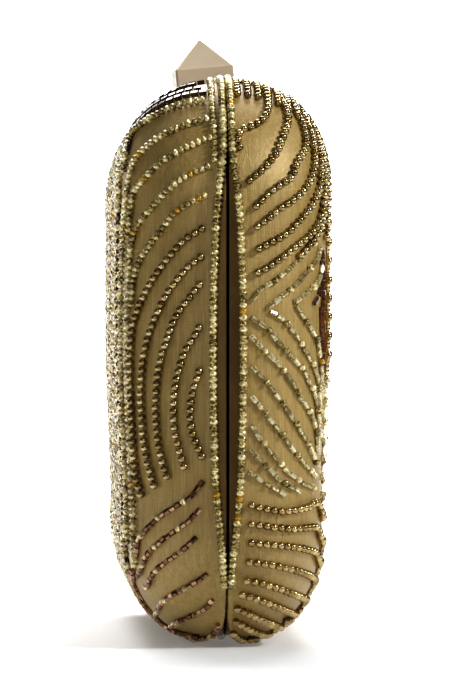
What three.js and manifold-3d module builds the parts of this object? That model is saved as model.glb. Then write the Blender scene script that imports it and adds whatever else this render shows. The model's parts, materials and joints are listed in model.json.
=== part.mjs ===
// A hard evening clutch: two domed half shells, covered in beaded silk, that meet in brass frames.
// The frames turn on two small hinges at the foot, and a sprung rocker clasp with a pyramid stud
// holds them at the top.
// Millimetres. +X runs along the length, -Y is the front half, +Z is up. The bag stands on z = 0.
import * as THREE from "three";
import { mergeVertices } from "three/addons/utils/BufferGeometryUtils.js";
import Module from "manifold-3d";

// Overall size of the beaded body.
const BAG_LENGTH = 200;
const BAG_HEIGHT = 130;
const CORNER_RADIUS = 29; // of the outline in the seam plane
const HALF_DEPTH = 25; // seam plane to the start of the crowned panel
const PANEL_CROWN = 0.6; // extra height at the middle of each broad panel
const EDGE_ROLL = 27; // how far in from the outline the rounded edge reaches
const ROLL_POWER = 2.3; // 2 is an ellipse, more is squarer
const FOOT_TAPER = 0.05; // share of the depth lost towards the foot
const TAPER_TOP = 75; // height above which the depth is full
const FOOT_SINK = 0.8; // depth of the flat that the bag stands on
const FOOT_HALF = 7; // half width of that flat

// Layers, as depths in from the beaded surface.
const FABRIC_DEPTH = 1.8; // height of the beads above the silk
const COVER_WALL = 2.4; // silk and beads together
const LAYER_GAP = 0.4;
const SHELL_WALL = 1.6;
const FRAME_LEG_WALL = 1.0;
const LINING_WALL = 0.6;
const SHELL_OUT = COVER_WALL + LAYER_GAP;
const SHELL_IN = SHELL_OUT + SHELL_WALL;
const LEG_OUT = SHELL_IN + LAYER_GAP;
const LEG_IN = LEG_OUT + FRAME_LEG_WALL;
const LINING_IN = LEG_OUT + LINING_WALL;

// Frames, measured out from the seam plane.
const SEAM_GAP = 0.35; // half of the slit between the frames
const LIP_REACH = 3.5;
const LEG_REACH = 10;

// Strings of seed beads that hide the edge of the silk.
const TRIM_RADIUS = 0.75;
const TRIM_LEDGE = 1.65; // bare silk left for the string
const TRIM_SET = 0.6; // string's centre from the edge of the silk
const TRIM_FOOT_ANGLE = -30; // lean of the outline where the strings stop

// Hinges.
const HINGE_X = 45;
const HINGE_LENGTH = 24;
const HINGE_Z = 1.3;
const BARREL_RADIUS = 1.1;
const PIN_RADIUS = 0.6;
const PIN_CLEARANCE = 0.12;
const PIN_HEAD = 0.4;
const MIDDLE_KNUCKLE = 11.4;
const KNUCKLE_GAP = 0.3;
const LEAF_WALL = 0.7;
const LEAF_REACH = 9;
const FIT_GAP = 0.3;

// Rivets.
const RIVET_RADIUS = 0.8;
const RIVET_HEAD_RADIUS = 1.4;
const RIVET_HEAD = 0.6;
const RIVET_CLEARANCE = 0.15;
const HINGE_RIVET_SPREAD = 7;
const HINGE_RIVET_Y = 6;

// Clasp.
const STUD_WIDTH = 14;
const STUD_SKIRT = 5.4;
const STUD_PYRAMID = 6.6;
const STUD_CHAMFER = 0.45;
const STUD_Y = -1.9;
const STUD_LEAN = 5.5; // degrees towards the front
const STUD_TURN = 2.5; // degrees about its own upright axis
const STUD_LIFT = 0.2; // underside below the top of the bag, at the stud's middle
const SOCKET_DEPTH = 2.2;
const PIVOT_Y = -5.5;
const PIVOT_DROP = 10.5; // pivot below the top of the bag
const LEVER_HALF_WIDTH = 1.9;
const STEM_HALF = 1.2;
const BOSS_RADIUS = 1.7;
const ARM_REACH = 10.1; // pivot to the tip of the nose
const ARM_TOP = 0.8; // arm above and below the pivot
const ARM_BOTTOM = -0.8;
const NOSE_DROP = 2.3; // nose tip below the pivot
const NOSE_WIDTH = 1.4;
const SLOT_HALF_WIDTH = 2.4;
const SLOT_NEAR = 3.7; // slots for the stem, out from the seam plane
const SLOT_FAR = 9.0;
const PLATE_HALF_WIDTH = 8.4;
const PLATE_REACH = 10.4;
const PLATE_WALL = 0.9;
const BRACKET_WALL = 0.8;
const BRACKET_HALF_WIDTH = 9;
const BRACKET_REACH = 9.6;
const CHEEK_X = 4.2;
const CHEEK_HALF = 2.2;
const CHEEK_FOOT = 1.9;
const CLASP_RIVET_X = 7;
const CLASP_RIVET_Y = 6;
const SPRING_WIRE = 0.22;
const SPRING_COIL = 1.15;
const SPRING_TURNS = 3;
const CATCH_Y = 1.6;
const CATCH_HALF_WIDTH = 6;
const CATCH_BAR = 2.6; // depth of the bar below the window
const CATCH_BITE = 1.2; // how far the nose drops behind the bar
const CATCH_WINDOW = 3.9;
const CATCH_RIVET_X = 4.2;

// Pocket in the back lining.
const POCKET_WIDTH = 110;
const POCKET_FOOT = 32;
const POCKET_TOP = 88;
const POCKET_WALL = 0.6;
const BINDING_HEIGHT = 4;
const BINDING_WALL = 1.2;

// Fineness.
const CORNER_STEPS = 5;
const SIDE_STEPS = 3;
const ROUND_SIDES = 12;
const RIVET_SIDES = 8;

const material = (color, roughness, metalness) =>
  new THREE.MeshStandardMaterial({ color, roughness, metalness });
const beadedSilk = material(0xa88e52, 0.5, 0.3);
const shellBoard = material(0x3a342c, 0.8, 0);
const satinLining = material(0xc9b48a, 0.55, 0);
const bronzeFrame = material(0x6b4a22, 0.4, 0.9);
const seedBead = material(0xd8c98a, 0.2, 0.4);
const champagneMetal = material(0xc8b08c, 0.3, 0.9);
const springSteel = material(0x9a9a98, 0.35, 0.9);

const wasm = await Module();
wasm.setup();

// A geometry as a solid for cutting and joining.
function solidOf(geometry) {
  const loose = geometry.index ? geometry.toNonIndexed() : geometry;
  const bare = new THREE.BufferGeometry();
  bare.setAttribute("position", loose.getAttribute("position"));
  const merged = mergeVertices(bare, 1e-4);
  const triVerts = new Uint32Array(merged.index.array);
  const vertProperties = merged.attributes.position.array;
  return new wasm.Manifold(new wasm.Mesh({ numProp: 3, vertProperties, triVerts }));
}

// A solid back as a geometry.
function geometryOf(solid) {
  const mesh = solid.getMesh();
  const geometry = new THREE.BufferGeometry();
  geometry.setAttribute("position", new THREE.BufferAttribute(mesh.vertProperties, 3));
  geometry.setIndex(new THREE.BufferAttribute(mesh.triVerts, 1));
  geometry.computeVertexNormals();
  return geometry;
}

// The first geometry less all the others.
function cut(geometry, tools) {
  const left = tools.reduce((rest, tool) => rest.subtract(solidOf(tool)), solidOf(geometry));
  return geometryOf(left);
}

// Several geometries as one body.
function join(geometries) {
  const [first, ...others] = geometries.map(solidOf);
  return geometryOf(others.reduce((sum, other) => sum.add(other), first));
}

// Faces of a closed geometry turned to point out, whichever way its rings were given.
function facingOut(positions, index) {
  const [a, b, c] = [new THREE.Vector3(), new THREE.Vector3(), new THREE.Vector3()];
  let volume = 0;
  for (let i = 0; i < index.length; i += 3) {
    a.fromArray(positions, 3 * index[i]);
    b.fromArray(positions, 3 * index[i + 1]);
    c.fromArray(positions, 3 * index[i + 2]);
    volume += a.dot(b.cross(c));
  }
  if (volume < 0) index.reverse();
  const geometry = new THREE.BufferGeometry();
  geometry.setAttribute("position", new THREE.Float32BufferAttribute(positions, 3));
  geometry.setIndex(index);
  geometry.computeVertexNormals();
  return geometry;
}

// A skin over rings of points. With poles, each end closes on its pole; without, the last ring
// joins the first.
function skin(rings, poles) {
  const size = rings[0].length;
  const points = [...rings.flat(), ...(poles ?? [])];
  const index = [];
  const spans = poles ? rings.length - 1 : rings.length;
  for (let k = 0; k < spans; k++) {
    const low = k * size;
    const high = ((k + 1) % rings.length) * size;
    for (let i = 0; i < size; i++) {
      const j = (i + 1) % size;
      index.push(low + i, low + j, high + j, low + i, high + j, high + i);
    }
  }
  if (poles) {
    const last = (rings.length - 1) * size;
    const pole = rings.length * size;
    for (let i = 0; i < size; i++) {
      const j = (i + 1) % size;
      index.push(pole, j, i, pole + 1, last + i, last + j);
    }
  }
  return facingOut(points.flatMap((p) => [p.x, p.y, p.z]), index);
}

// The same geometry on the front half.
function mirrored(geometry) {
  const index = [...geometry.index.array].reverse();
  const positions = [...geometry.attributes.position.array];
  for (let i = 1; i < positions.length; i += 3) positions[i] *= -1;
  return facingOut(positions, index);
}

// The outline in the seam plane: places on an inner rectangle, each with the direction out.
function outlineStations() {
  const right = BAG_LENGTH / 2 - CORNER_RADIUS;
  const low = CORNER_RADIUS - FOOT_SINK;
  const high = BAG_HEIGHT - CORNER_RADIUS;
  const corners = [[right, low], [right, high], [-right, high], [-right, low]];
  const stations = [];
  corners.forEach(([x, z], corner) => {
    const [nextX, nextZ] = corners[(corner + 1) % 4];
    for (let k = 0; k <= CORNER_STEPS; k++) {
      const angle = THREE.MathUtils.degToRad(90 * (corner - 1) + (90 * k) / CORNER_STEPS);
      stations.push({ x, z, outX: Math.cos(angle), outZ: Math.sin(angle) });
    }
    const { outX, outZ } = stations.at(-1);
    for (let k = 1; k < SIDE_STEPS; k++) {
      const share = k / SIDE_STEPS;
      const between = { x: x + (nextX - x) * share, z: z + (nextZ - z) * share };
      stations.push({ ...between, outX, outZ });
    }
  });
  return stations;
}
const STATIONS = outlineStations();
const TOP_STATION = { x: 0, z: BAG_HEIGHT - CORNER_RADIUS, outX: 0, outZ: 1 };
const FOOT_STATION = { x: 0, z: CORNER_RADIUS - FOOT_SINK, outX: 0, outZ: -1 };

// Half depth of the body at a height, less towards the foot.
function depthAt(z) {
  const height = THREE.MathUtils.clamp(z, EDGE_ROLL, BAG_HEIGHT - EDGE_ROLL);
  const fullness = THREE.MathUtils.smoothstep(height, EDGE_ROLL, TAPER_TOP);
  return HALF_DEPTH * (1 - FOOT_TAPER * (1 - fullness));
}

// How far in from the outline a layer lies at a distance y from the seam plane.
function insetAt(y, layer, depth) {
  const share = Math.min(Math.abs(y) / (depth - layer), 1) ** ROLL_POWER;
  return layer + (EDGE_ROLL - layer) * (1 - (1 - share) ** (1 / ROLL_POWER));
}

// The point of a layer at a station, at a distance y from the seam plane.
function pointAt(station, y, layer) {
  const outlineZ = station.z + station.outZ * CORNER_RADIUS;
  const reach = CORNER_RADIUS - insetAt(y, layer, depthAt(outlineZ));
  const z = station.z + station.outZ * reach;
  return new THREE.Vector3(station.x + station.outX * reach, y, Math.max(z, 0));
}

// The crowned panel inside the rounded edge.
function panelPoint(x, z, layer) {
  const u = x / (BAG_LENGTH / 2 - EDGE_ROLL);
  const v = (z - BAG_HEIGHT / 2) / (BAG_HEIGHT / 2 - EDGE_ROLL);
  const crown = PANEL_CROWN * Math.max(0, 1 - u * u) * Math.max(0, 1 - v * v);
  return new THREE.Vector3(x, depthAt(z) - layer + crown, z);
}

// Lean of the outline at a station, in degrees: -90 at the foot, 0 at the ends, 90 at the top.
const leanOf = (station) => THREE.MathUtils.radToDeg(Math.asin(station.outZ));

// A value that changes evenly between knots of lean.
function byLean(station, knots) {
  const lean = leanOf(station);
  const next = Math.max(1, knots.findIndex(([at]) => at >= lean - 1e-6));
  const [[a, low], [b, high]] = [knots[next - 1], knots[next]];
  return THREE.MathUtils.mapLinear(lean, a, b, low, high);
}

// Edge of the silk, out from the seam plane: wide at the ends, close at the top and the corners,
// and clear of the hinge barrels along the foot.
const silkEdge = (station) =>
  byLean(station, [[-90, 1.9], [-75, 1.9], [-45, 0.8], [-30, 0.7], [0, 2.4], [30, 1.2], [60, 0.8], [90, 0.8]]);
const ledgeWidth = (station) =>
  byLean(station, [[-90, 0.05], [-45, 0.05], [TRIM_FOOT_ANGLE, TRIM_LEDGE], [90, TRIM_LEDGE]]);

// Rings of one face of a domed layer, from its edge to near the middle of the panel.
function domeRings(layer, edgeOf, rollSteps, panelSteps) {
  const rings = [];
  const underFoot = edgeOf(FOOT_STATION) < FOOT_HALF;
  if (underFoot) rings.push(STATIONS.map((station) => pointAt(station, edgeOf(station), layer)));
  for (let k = 0; k <= rollSteps; k++) {
    rings.push(STATIONS.map((station) => {
      const reach = depthAt(station.z + station.outZ * CORNER_RADIUS) - layer;
      const first = underFoot ? FOOT_HALF : edgeOf(station);
      const start = Math.asin((first / reach) ** (ROLL_POWER / 2));
      const angle = THREE.MathUtils.lerp(start, Math.PI / 2, k / rollSteps);
      return pointAt(station, reach * Math.sin(angle) ** (2 / ROLL_POWER), layer);
    }));
  }
  const border = rings.at(-1);
  for (let k = 1; k < panelSteps; k++) {
    const share = 1 - k / panelSteps;
    rings.push(border.map((p) => {
      const z = BAG_HEIGHT / 2 + (p.z - BAG_HEIGHT / 2) * share;
      return panelPoint(p.x * share, z, layer);
    }));
  }
  return rings;
}

// A domed layer of the back half, from an outer depth to an inner one. Steps are extra rings
// between the two edges.
function dome(outer, inner, outerEdge, innerEdge, rollSteps, panelSteps, steps = []) {
  const inside = domeRings(inner, innerEdge, rollSteps, panelSteps).reverse();
  const outside = domeRings(outer, outerEdge, rollSteps, panelSteps);
  const middle = [inner, outer].map((layer) => panelPoint(0, BAG_HEIGHT / 2, layer));
  return skin([...inside, ...steps, ...outside], middle);
}

function cover() {
  const outerEdge = (station) => silkEdge(station) + ledgeWidth(station);
  const steps = [
    STATIONS.map((station) => pointAt(station, silkEdge(station), FABRIC_DEPTH)),
    STATIONS.map((station) => pointAt(station, outerEdge(station), FABRIC_DEPTH)),
  ];
  return dome(0, COVER_WALL, outerEdge, silkEdge, 6, 2, steps);
}

function shell() {
  const edge = () => LIP_REACH + LAYER_GAP;
  return dome(SHELL_OUT, SHELL_IN, edge, edge, 5, 2);
}

function lining() {
  const edge = () => LEG_REACH + LAYER_GAP;
  return dome(LEG_OUT, LINING_IN, edge, edge, 4, 2);
}

// Distances from the seam plane at which the legs and the plates on them are bent. Between the
// two knees they are flat, and the rivets sit there.
const KNEE_NEAR = 4;
const KNEE_FAR = 8;
const legSamples = (from, to) => [from, KNEE_NEAR, KNEE_FAR, to];

// The frame: a lip that shows at the seam, and a leg that reaches in behind the shell.
function frame() {
  const outerLeg = legSamples(LIP_REACH, LEG_REACH).map((y) => [y, LEG_OUT]);
  const innerLeg = legSamples(LIP_REACH, LEG_REACH).map((y) => [y, LEG_IN]).reverse();
  const lip = [[SEAM_GAP, LEG_IN], [SEAM_GAP, SHELL_OUT], [LIP_REACH, SHELL_OUT]];
  const section = [...lip, ...outerLeg, ...innerLeg];
  return skin(STATIONS.map((station) => section.map(([y, layer]) => pointAt(station, y, layer))));
}

// An outline in the YZ plane, extruded along X and centred on a place.
function bar(outline, length, centreX = 0) {
  const shape = new THREE.Shape(outline.map(([y, z]) => new THREE.Vector2(y, z)));
  const geometry = new THREE.ExtrudeGeometry(shape, { depth: length, bevelEnabled: false });
  const turn = new THREE.Matrix4().set(0, 0, 1, centreX - length / 2, 1, 0, 0, 0, 0, 1, 0, 0, 0, 0, 0, 1);
  return geometry.applyMatrix4(turn);
}

const box = (x0, x1, y0, y1, z0, z1) =>
  bar([[y0, z0], [y1, z0], [y1, z1], [y0, z1]], x1 - x0, (x0 + x1) / 2);

// A cylinder along X.
function rod(radius, length, x, y, z) {
  const geometry = new THREE.CylinderGeometry(radius, radius, length, ROUND_SIDES);
  return geometry.rotateZ(Math.PI / 2).translate(x, y, z);
}

// A headed pin along X, turned in one piece.
function headedPin(radius, headRadius, length, head, x, y, z) {
  const half = length / 2;
  const profile = [
    [0, -half - head], [headRadius * 0.7, -half - head], [headRadius, -half], [radius, -half],
    [radius, half], [headRadius, half], [headRadius * 0.7, half + head], [0, half + head],
  ].map(([r, h]) => new THREE.Vector2(r, h));
  return new THREE.LatheGeometry(profile, ROUND_SIDES).rotateZ(Math.PI / 2).translate(x, y, z);
}

// The outline of a plate that follows the straight part of a layer, from depth a to depth b.
function platePath(station, from, to, a, b) {
  const side = (layer) =>
    legSamples(from, to).map((y) => {
      const p = pointAt(station, y, layer);
      return [p.y, p.z];
    });
  return [...side(a), ...side(b).reverse()];
}

// One leaf of a hinge on the back half. Its web passes down between the frames to the barrel.
function hingeLeaf(centreX, knuckles) {
  const top = LEG_IN + FIT_GAP;
  const flange = bar(
    platePath(FOOT_STATION, SEAM_GAP, LEAF_REACH, top, top + LEAF_WALL), HINGE_LENGTH, centreX);
  const webFoot = HINGE_Z + BARREL_RADIUS + 0.15;
  const webTop = pointAt(FOOT_STATION, SEAM_GAP, top).z + LEAF_WALL / 2;
  const ends = [centreX - HINGE_LENGTH / 2, centreX + HINGE_LENGTH / 2];
  const web = box(...ends, SEAM_GAP, SEAM_GAP + LEAF_WALL, webFoot, webTop);
  const parts = knuckles.flatMap(([from, to]) => {
    const [low, high] = [centreX + from, centreX + to];
    const barrel = rod(BARREL_RADIUS, high - low, (low + high) / 2, 0, HINGE_Z);
    return [barrel, box(low, high, SEAM_GAP, SEAM_GAP + LEAF_WALL, HINGE_Z, webFoot + 0.1)];
  });
  const bore = rod(PIN_RADIUS + PIN_CLEARANCE, HINGE_LENGTH * 2, centreX, 0, HINGE_Z);
  return cut(join([flange, web, ...parts]), [bore, ...hingeRivets(centreX).map(rivetHole)]);
}

const OUTER_KNUCKLES = [-1, 1].map((side) => {
  const inner = MIDDLE_KNUCKLE / 2 + KNUCKLE_GAP;
  return [side * inner, (side * HINGE_LENGTH) / 2].sort((a, b) => a - b);
});
const INNER_KNUCKLE = [[-MIDDLE_KNUCKLE / 2, MIDDLE_KNUCKLE / 2]];

// Where a rivet sits: its head lies on a layer, and its shank runs out to another.
function rivetSeat(station, x, y, headLayer, endLayer) {
  const near = pointAt(station, KNEE_NEAR, headLayer);
  const far = pointAt(station, KNEE_FAR, headLayer);
  const slope = Math.atan2(far.z - near.z, far.y - near.y);
  const z = THREE.MathUtils.mapLinear(y, near.y, far.y, near.z, far.z);
  return { x, y, z, slope, up: -station.outZ, shank: headLayer - endLayer };
}
const hingeRivets = (centreX) =>
  [-HINGE_RIVET_SPREAD, HINGE_RIVET_SPREAD].map((dx) =>
    rivetSeat(FOOT_STATION, centreX + dx, HINGE_RIVET_Y, LEG_IN + FIT_GAP + LEAF_WALL, LEG_OUT));
const claspRivets = [-CLASP_RIVET_X, CLASP_RIVET_X].map((x) =>
  rivetSeat(TOP_STATION, x, CLASP_RIVET_Y, LEG_IN + FIT_GAP + BRACKET_WALL, COVER_WALL - PLATE_WALL / 2));
const catchRivets = [-CATCH_RIVET_X, CATCH_RIVET_X].map((x) =>
  rivetSeat(TOP_STATION, x, CLASP_RIVET_Y, LEG_IN + FIT_GAP + BRACKET_WALL, LEG_OUT));

// A round body turned about a rivet's axis and set on its seat.
function onSeat(seat, profile) {
  const points = profile.map(([r, h]) => new THREE.Vector2(r, h));
  const geometry = new THREE.LatheGeometry(points, RIVET_SIDES).rotateX(Math.PI / 2);
  if (seat.up < 0) geometry.rotateX(Math.PI);
  return geometry.rotateX(seat.slope).translate(seat.x, seat.y, seat.z);
}

function rivet(seat) {
  const rise = 0.1;
  const top = rise + RIVET_HEAD;
  return onSeat(seat, [
    [0, -seat.shank], [RIVET_RADIUS, -seat.shank], [RIVET_RADIUS, rise], [RIVET_HEAD_RADIUS, rise],
    [RIVET_HEAD_RADIUS * 0.6, top], [0, top],
  ]);
}

function rivetHole(seat) {
  const radius = RIVET_RADIUS + RIVET_CLEARANCE;
  const [low, high] = [-seat.shank - 0.3, RIVET_HEAD];
  return onSeat(seat, [[0, low], [radius, low], [radius, high], [0, high]]);
}

// Room for the hinge webs and barrels between the frames.
function hingeNotch(centreX) {
  const half = HINGE_LENGTH / 2 + PIN_HEAD + 2 * FIT_GAP;
  const far = SEAM_GAP + LEAF_WALL + FIT_GAP;
  return box(centreX - half, centreX + half, 0, far, -1, LEG_IN + 1);
}

const stemSlot = (far) =>
  box(-SLOT_HALF_WIDTH, SLOT_HALF_WIDTH, SLOT_NEAR, far, BAG_HEIGHT - 20, BAG_HEIGHT + 2);

// The stud: a square block under a low pyramid, with narrow chamfers.
function studRing(half, chamfer, z) {
  const corners = [[1, 1], [-1, 1], [-1, -1], [1, -1]];
  return corners.flatMap(([sx, sy], i) => {
    const near = [sx * half, sy * (half - chamfer)];
    const far = [sx * (half - chamfer), sy * half];
    const pair = i % 2 ? [far, near] : [near, far];
    return pair.map(([x, y]) => new THREE.Vector3(x, y, z));
  });
}

function studBlock() {
  const half = STUD_WIDTH / 2;
  const tip = 0.25;
  const rings = [
    studRing(half, STUD_CHAMFER, 0),
    studRing(half, STUD_CHAMFER, STUD_SKIRT - STUD_CHAMFER),
    studRing(half - STUD_CHAMFER, STUD_CHAMFER * 0.6, STUD_SKIRT),
    studRing(tip, tip * 0.3, STUD_SKIRT + STUD_PYRAMID),
  ];
  const poles = [new THREE.Vector3(0, 0, 0), new THREE.Vector3(0, 0, STUD_SKIRT + STUD_PYRAMID)];
  return skin(rings, poles)
    .rotateZ(THREE.MathUtils.degToRad(STUD_TURN))
    .rotateX(THREE.MathUtils.degToRad(STUD_LEAN))
    .translate(0, STUD_Y, BAG_HEIGHT - STUD_LIFT);
}

const PIVOT_Z = BAG_HEIGHT - PIVOT_DROP;
const STEM_TOP = BAG_HEIGHT - STUD_LIFT + SOCKET_DEPTH - FIT_GAP;

function claspStud() {
  const reach = FIT_GAP;
  const socket = box(
    -LEVER_HALF_WIDTH - reach, LEVER_HALF_WIDTH + reach,
    PIVOT_Y - STEM_HALF - reach, PIVOT_Y + STEM_HALF + reach, BAG_HEIGHT - 5, STEM_TOP + reach);
  return cut(studBlock(), [socket]);
}

// The rocker: a stem up to the stud, a boss on the pin, and an arm with a nose that hooks the catch.
function claspLever() {
  const tip = PIVOT_Y + ARM_REACH;
  const boss = Array.from({ length: 7 }, (_, k) => {
    const angle = Math.PI + (Math.PI * k) / 6;
    return [PIVOT_Y + BOSS_RADIUS * Math.cos(angle), PIVOT_Z + BOSS_RADIUS * Math.sin(angle)];
  });
  const outline = [
    [PIVOT_Y - STEM_HALF, STEM_TOP], [PIVOT_Y - STEM_HALF, PIVOT_Z + BOSS_RADIUS],
    ...boss.slice(0, 6),
    [tip - NOSE_WIDTH, PIVOT_Z + ARM_BOTTOM], [tip - NOSE_WIDTH, PIVOT_Z - NOSE_DROP],
    [tip - NOSE_WIDTH / 2, PIVOT_Z - NOSE_DROP], [tip, PIVOT_Z - NOSE_DROP + 1],
    [tip, PIVOT_Z + ARM_TOP], [PIVOT_Y + STEM_HALF + 0.8, PIVOT_Z + ARM_TOP],
    [PIVOT_Y + STEM_HALF, PIVOT_Z + BOSS_RADIUS], [PIVOT_Y + STEM_HALF, STEM_TOP],
  ];
  const bore = rod(PIN_RADIUS + PIN_CLEARANCE, 20, 0, PIVOT_Y, PIVOT_Z);
  return cut(bar(outline, LEVER_HALF_WIDTH * 2), [bore]);
}

// A plate under the frame's leg, with two cheeks that carry the clasp pin.
function claspBracket() {
  const top = LEG_IN + FIT_GAP;
  const base = mirrored(indexed(
    bar(platePath(TOP_STATION, 1, BRACKET_REACH, top, top + BRACKET_WALL), BRACKET_HALF_WIDTH * 2)));
  const [near, far] = [-PIVOT_Y - CHEEK_HALF, -PIVOT_Y + CHEEK_HALF];
  const insidePlate = [far, KNEE_NEAR, near].map((y) => {
    const p = pointAt(TOP_STATION, y, top + BRACKET_WALL / 2);
    return [-p.y, p.z];
  });
  const foot = PIVOT_Z - CHEEK_FOOT;
  const cheeks = [-1, 1].map((side) => {
    const outline = [...insidePlate, [-near, foot], [-far, foot]];
    return bar(outline.reverse(), BRACKET_WALL, side * (CHEEK_X + BRACKET_WALL / 2));
  });
  const bore = rod(PIN_RADIUS + PIN_CLEARANCE, 20, 0, PIVOT_Y, PIVOT_Z);
  const slot = mirrored(indexed(stemSlot(SLOT_FAR - 0.4)));
  const holes = claspRivets.map((seat) => mirrored(indexed(rivetHole(seat))));
  return cut(join([base, ...cheeks]), [bore, slot, ...holes]);
}

// A geometry with shared vertices, so that its faces can be turned over.
function indexed(geometry) {
  const bare = new THREE.BufferGeometry();
  const loose = geometry.index ? geometry.toNonIndexed() : geometry;
  bare.setAttribute("position", loose.getAttribute("position"));
  return mergeVertices(bare, 1e-4);
}

// The plate that the stud stands over, let into the silk.
function claspPlate() {
  const flat = bar(
    platePath(TOP_STATION, 0.9, PLATE_REACH, COVER_WALL - PLATE_WALL, COVER_WALL), PLATE_HALF_WIDTH * 2);
  return cut(flat, [stemSlot(SLOT_FAR), ...claspRivets.map(rivetHole)]);
}

// Opening in the front silk for the clasp plate.
const plateWindow = () => {
  const half = PLATE_HALF_WIDTH + FIT_GAP;
  return box(-half, half, -1, PLATE_REACH + FIT_GAP, BAG_HEIGHT - 12, BAG_HEIGHT + 2);
};

// A torsion spring on the clasp pin. One leg bears on the arm, the other under the bracket.
function claspSpring() {
  const nearX = LEVER_HALF_WIDTH + 0.3;
  const pitch = SPRING_WIRE * 2 + 0.06;
  const onCoil = (turn) => {
    const angle = 2 * Math.PI * turn;
    return new THREE.Vector3(
      nearX + pitch * (turn - 0.25),
      PIVOT_Y + SPRING_COIL * Math.cos(angle), PIVOT_Z + SPRING_COIL * Math.sin(angle));
  };
  const legZ = PIVOT_Z + SPRING_COIL;
  const points = [
    new THREE.Vector3(0.4, PIVOT_Y + 3.4, legZ + 0.1), new THREE.Vector3(1.4, PIVOT_Y + 3.4, legZ + 0.1),
    new THREE.Vector3(nearX - 0.1, PIVOT_Y + 2.6, legZ), new THREE.Vector3(nearX, PIVOT_Y + 1.3, legZ),
  ];
  const steps = (SPRING_TURNS - 0.25) * 12;
  for (let k = 0; k <= steps; k++) points.push(onCoil(0.25 + k / 12));
  const last = points.at(-1);
  points.push(last.clone().add(new THREE.Vector3(0, 0, 0.8)), last.clone().add(new THREE.Vector3(0, 0, 1.6)));
  return wire(points, SPRING_WIRE, 5, 56);
}

// A round wire through points.
function wire(points, radius, sides, steps) {
  const section = new THREE.Shape();
  section.absarc(0, 0, radius, 0, Math.PI * 2);
  const round = new THREE.Shape(section.getSpacedPoints(sides).slice(0, sides));
  const path = new THREE.CatmullRomCurve3(points, false, "centripetal");
  return new THREE.ExtrudeGeometry(round, { extrudePath: path, steps, bevelEnabled: false });
}

// The string of seed beads along the back silk's edge, between two ends of the outline.
function trimPoints(stations) {
  return stations.map((station) => pointAt(station, silkEdge(station) + TRIM_SET, TRIM_RADIUS));
}

const strungStations = STATIONS.filter((station) => leanOf(station) >= TRIM_FOOT_ANGLE - 1e-6);
const trimSplit = PLATE_HALF_WIDTH + 2 * FIT_GAP;

function backTrim() {
  return wire(trimPoints(strungStations), TRIM_RADIUS, 6, 48);
}

function frontTrim(side) {
  const own = strungStations.filter((station) => side * station.x > trimSplit);
  const ordered = side > 0 ? own : own.reverse();
  const end = { ...TOP_STATION, x: side * trimSplit };
  return mirrored(indexed(wire(trimPoints([...ordered, end]), TRIM_RADIUS, 6, 32)));
}

// The sprung catch on the back frame: a window with a bar that the nose drops behind.
function catchSpring() {
  const top = LEG_IN + FIT_GAP;
  const base = bar(platePath(TOP_STATION, CATCH_Y, BRACKET_REACH, top, top + BRACKET_WALL), CATCH_HALF_WIDTH * 2);
  const barTop = PIVOT_Z - NOSE_DROP + CATCH_BITE;
  const tabTop = pointAt(TOP_STATION, CATCH_Y, top).z - BRACKET_WALL / 4;
  const tab = box(
    -CATCH_HALF_WIDTH, CATCH_HALF_WIDTH, CATCH_Y, CATCH_Y + BRACKET_WALL, barTop - CATCH_BAR, tabTop);
  const half = LEVER_HALF_WIDTH + 0.7;
  const window = box(-half, half, CATCH_Y - 1, CATCH_Y + 2, barTop, barTop + CATCH_WINDOW);
  return cut(join([base, tab]), [window, ...catchRivets.map(rivetHole)]);
}

// A thin panel that follows the inside of the back lining.
function liningPanel(width, foot, top, outer, inner) {
  const [columns, rows] = [6, 5];
  const face = (layer) =>
    Array.from({ length: rows + 1 }, (_, r) =>
      Array.from({ length: columns + 1 }, (_, c) => {
        const x = width * (c / columns - 0.5);
        return panelPoint(x, THREE.MathUtils.lerp(foot, top, r / rows), layer);
      }));
  const [back, front] = [face(outer), face(inner)];
  const rings = back.map((row, r) => [...row, ...front[r].slice().reverse()]);
  const middle = (r) => back[r][columns / 2].clone().add(front[r][columns / 2]).multiplyScalar(0.5);
  return skin(rings, [middle(0), middle(rows)]);
}

function pocketPanel() {
  const outer = LINING_IN + LAYER_GAP;
  return liningPanel(POCKET_WIDTH, POCKET_FOOT, POCKET_TOP, outer, outer + POCKET_WALL);
}

function pocketBinding() {
  const outer = LINING_IN + LAYER_GAP;
  const foot = POCKET_TOP + LAYER_GAP;
  return liningPanel(POCKET_WIDTH, foot, foot + BINDING_HEIGHT, outer, outer + BINDING_WALL);
}

const bag = new THREE.Group();
function add(name, geometry, finish) {
  const mesh = new THREE.Mesh(geometry, finish);
  mesh.name = name;
  bag.add(mesh);
}

const notches = [-HINGE_X, HINGE_X].map(hingeNotch);
const hingeHoles = [-HINGE_X, HINGE_X].flatMap(hingeRivets).map(rivetHole);
const claspHoles = claspRivets.map(rivetHole);
const catchHoles = catchRivets.map(rivetHole);

add("beaded_cover_back", cover(), beadedSilk);
add("beaded_cover_front", mirrored(cut(cover(), [plateWindow()])), beadedSilk);
add("shell_back", shell(), shellBoard);
add("shell_front", mirrored(cut(shell(), [stemSlot(SLOT_FAR), ...claspHoles])), shellBoard);
add("lining_back", lining(), satinLining);
add("lining_front", mirrored(lining()), satinLining);
add("frame_back", cut(frame(), [...notches, ...hingeHoles, ...catchHoles]), bronzeFrame);
add(
  "frame_front",
  mirrored(cut(frame(), [...notches, ...hingeHoles, ...claspHoles, stemSlot(SLOT_FAR - 0.2)])),
  bronzeFrame,
);
add("bead_trim_back", backTrim(), seedBead);
add("bead_trim_front_right", frontTrim(1), seedBead);
add("bead_trim_front_left", frontTrim(-1), seedBead);

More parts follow.
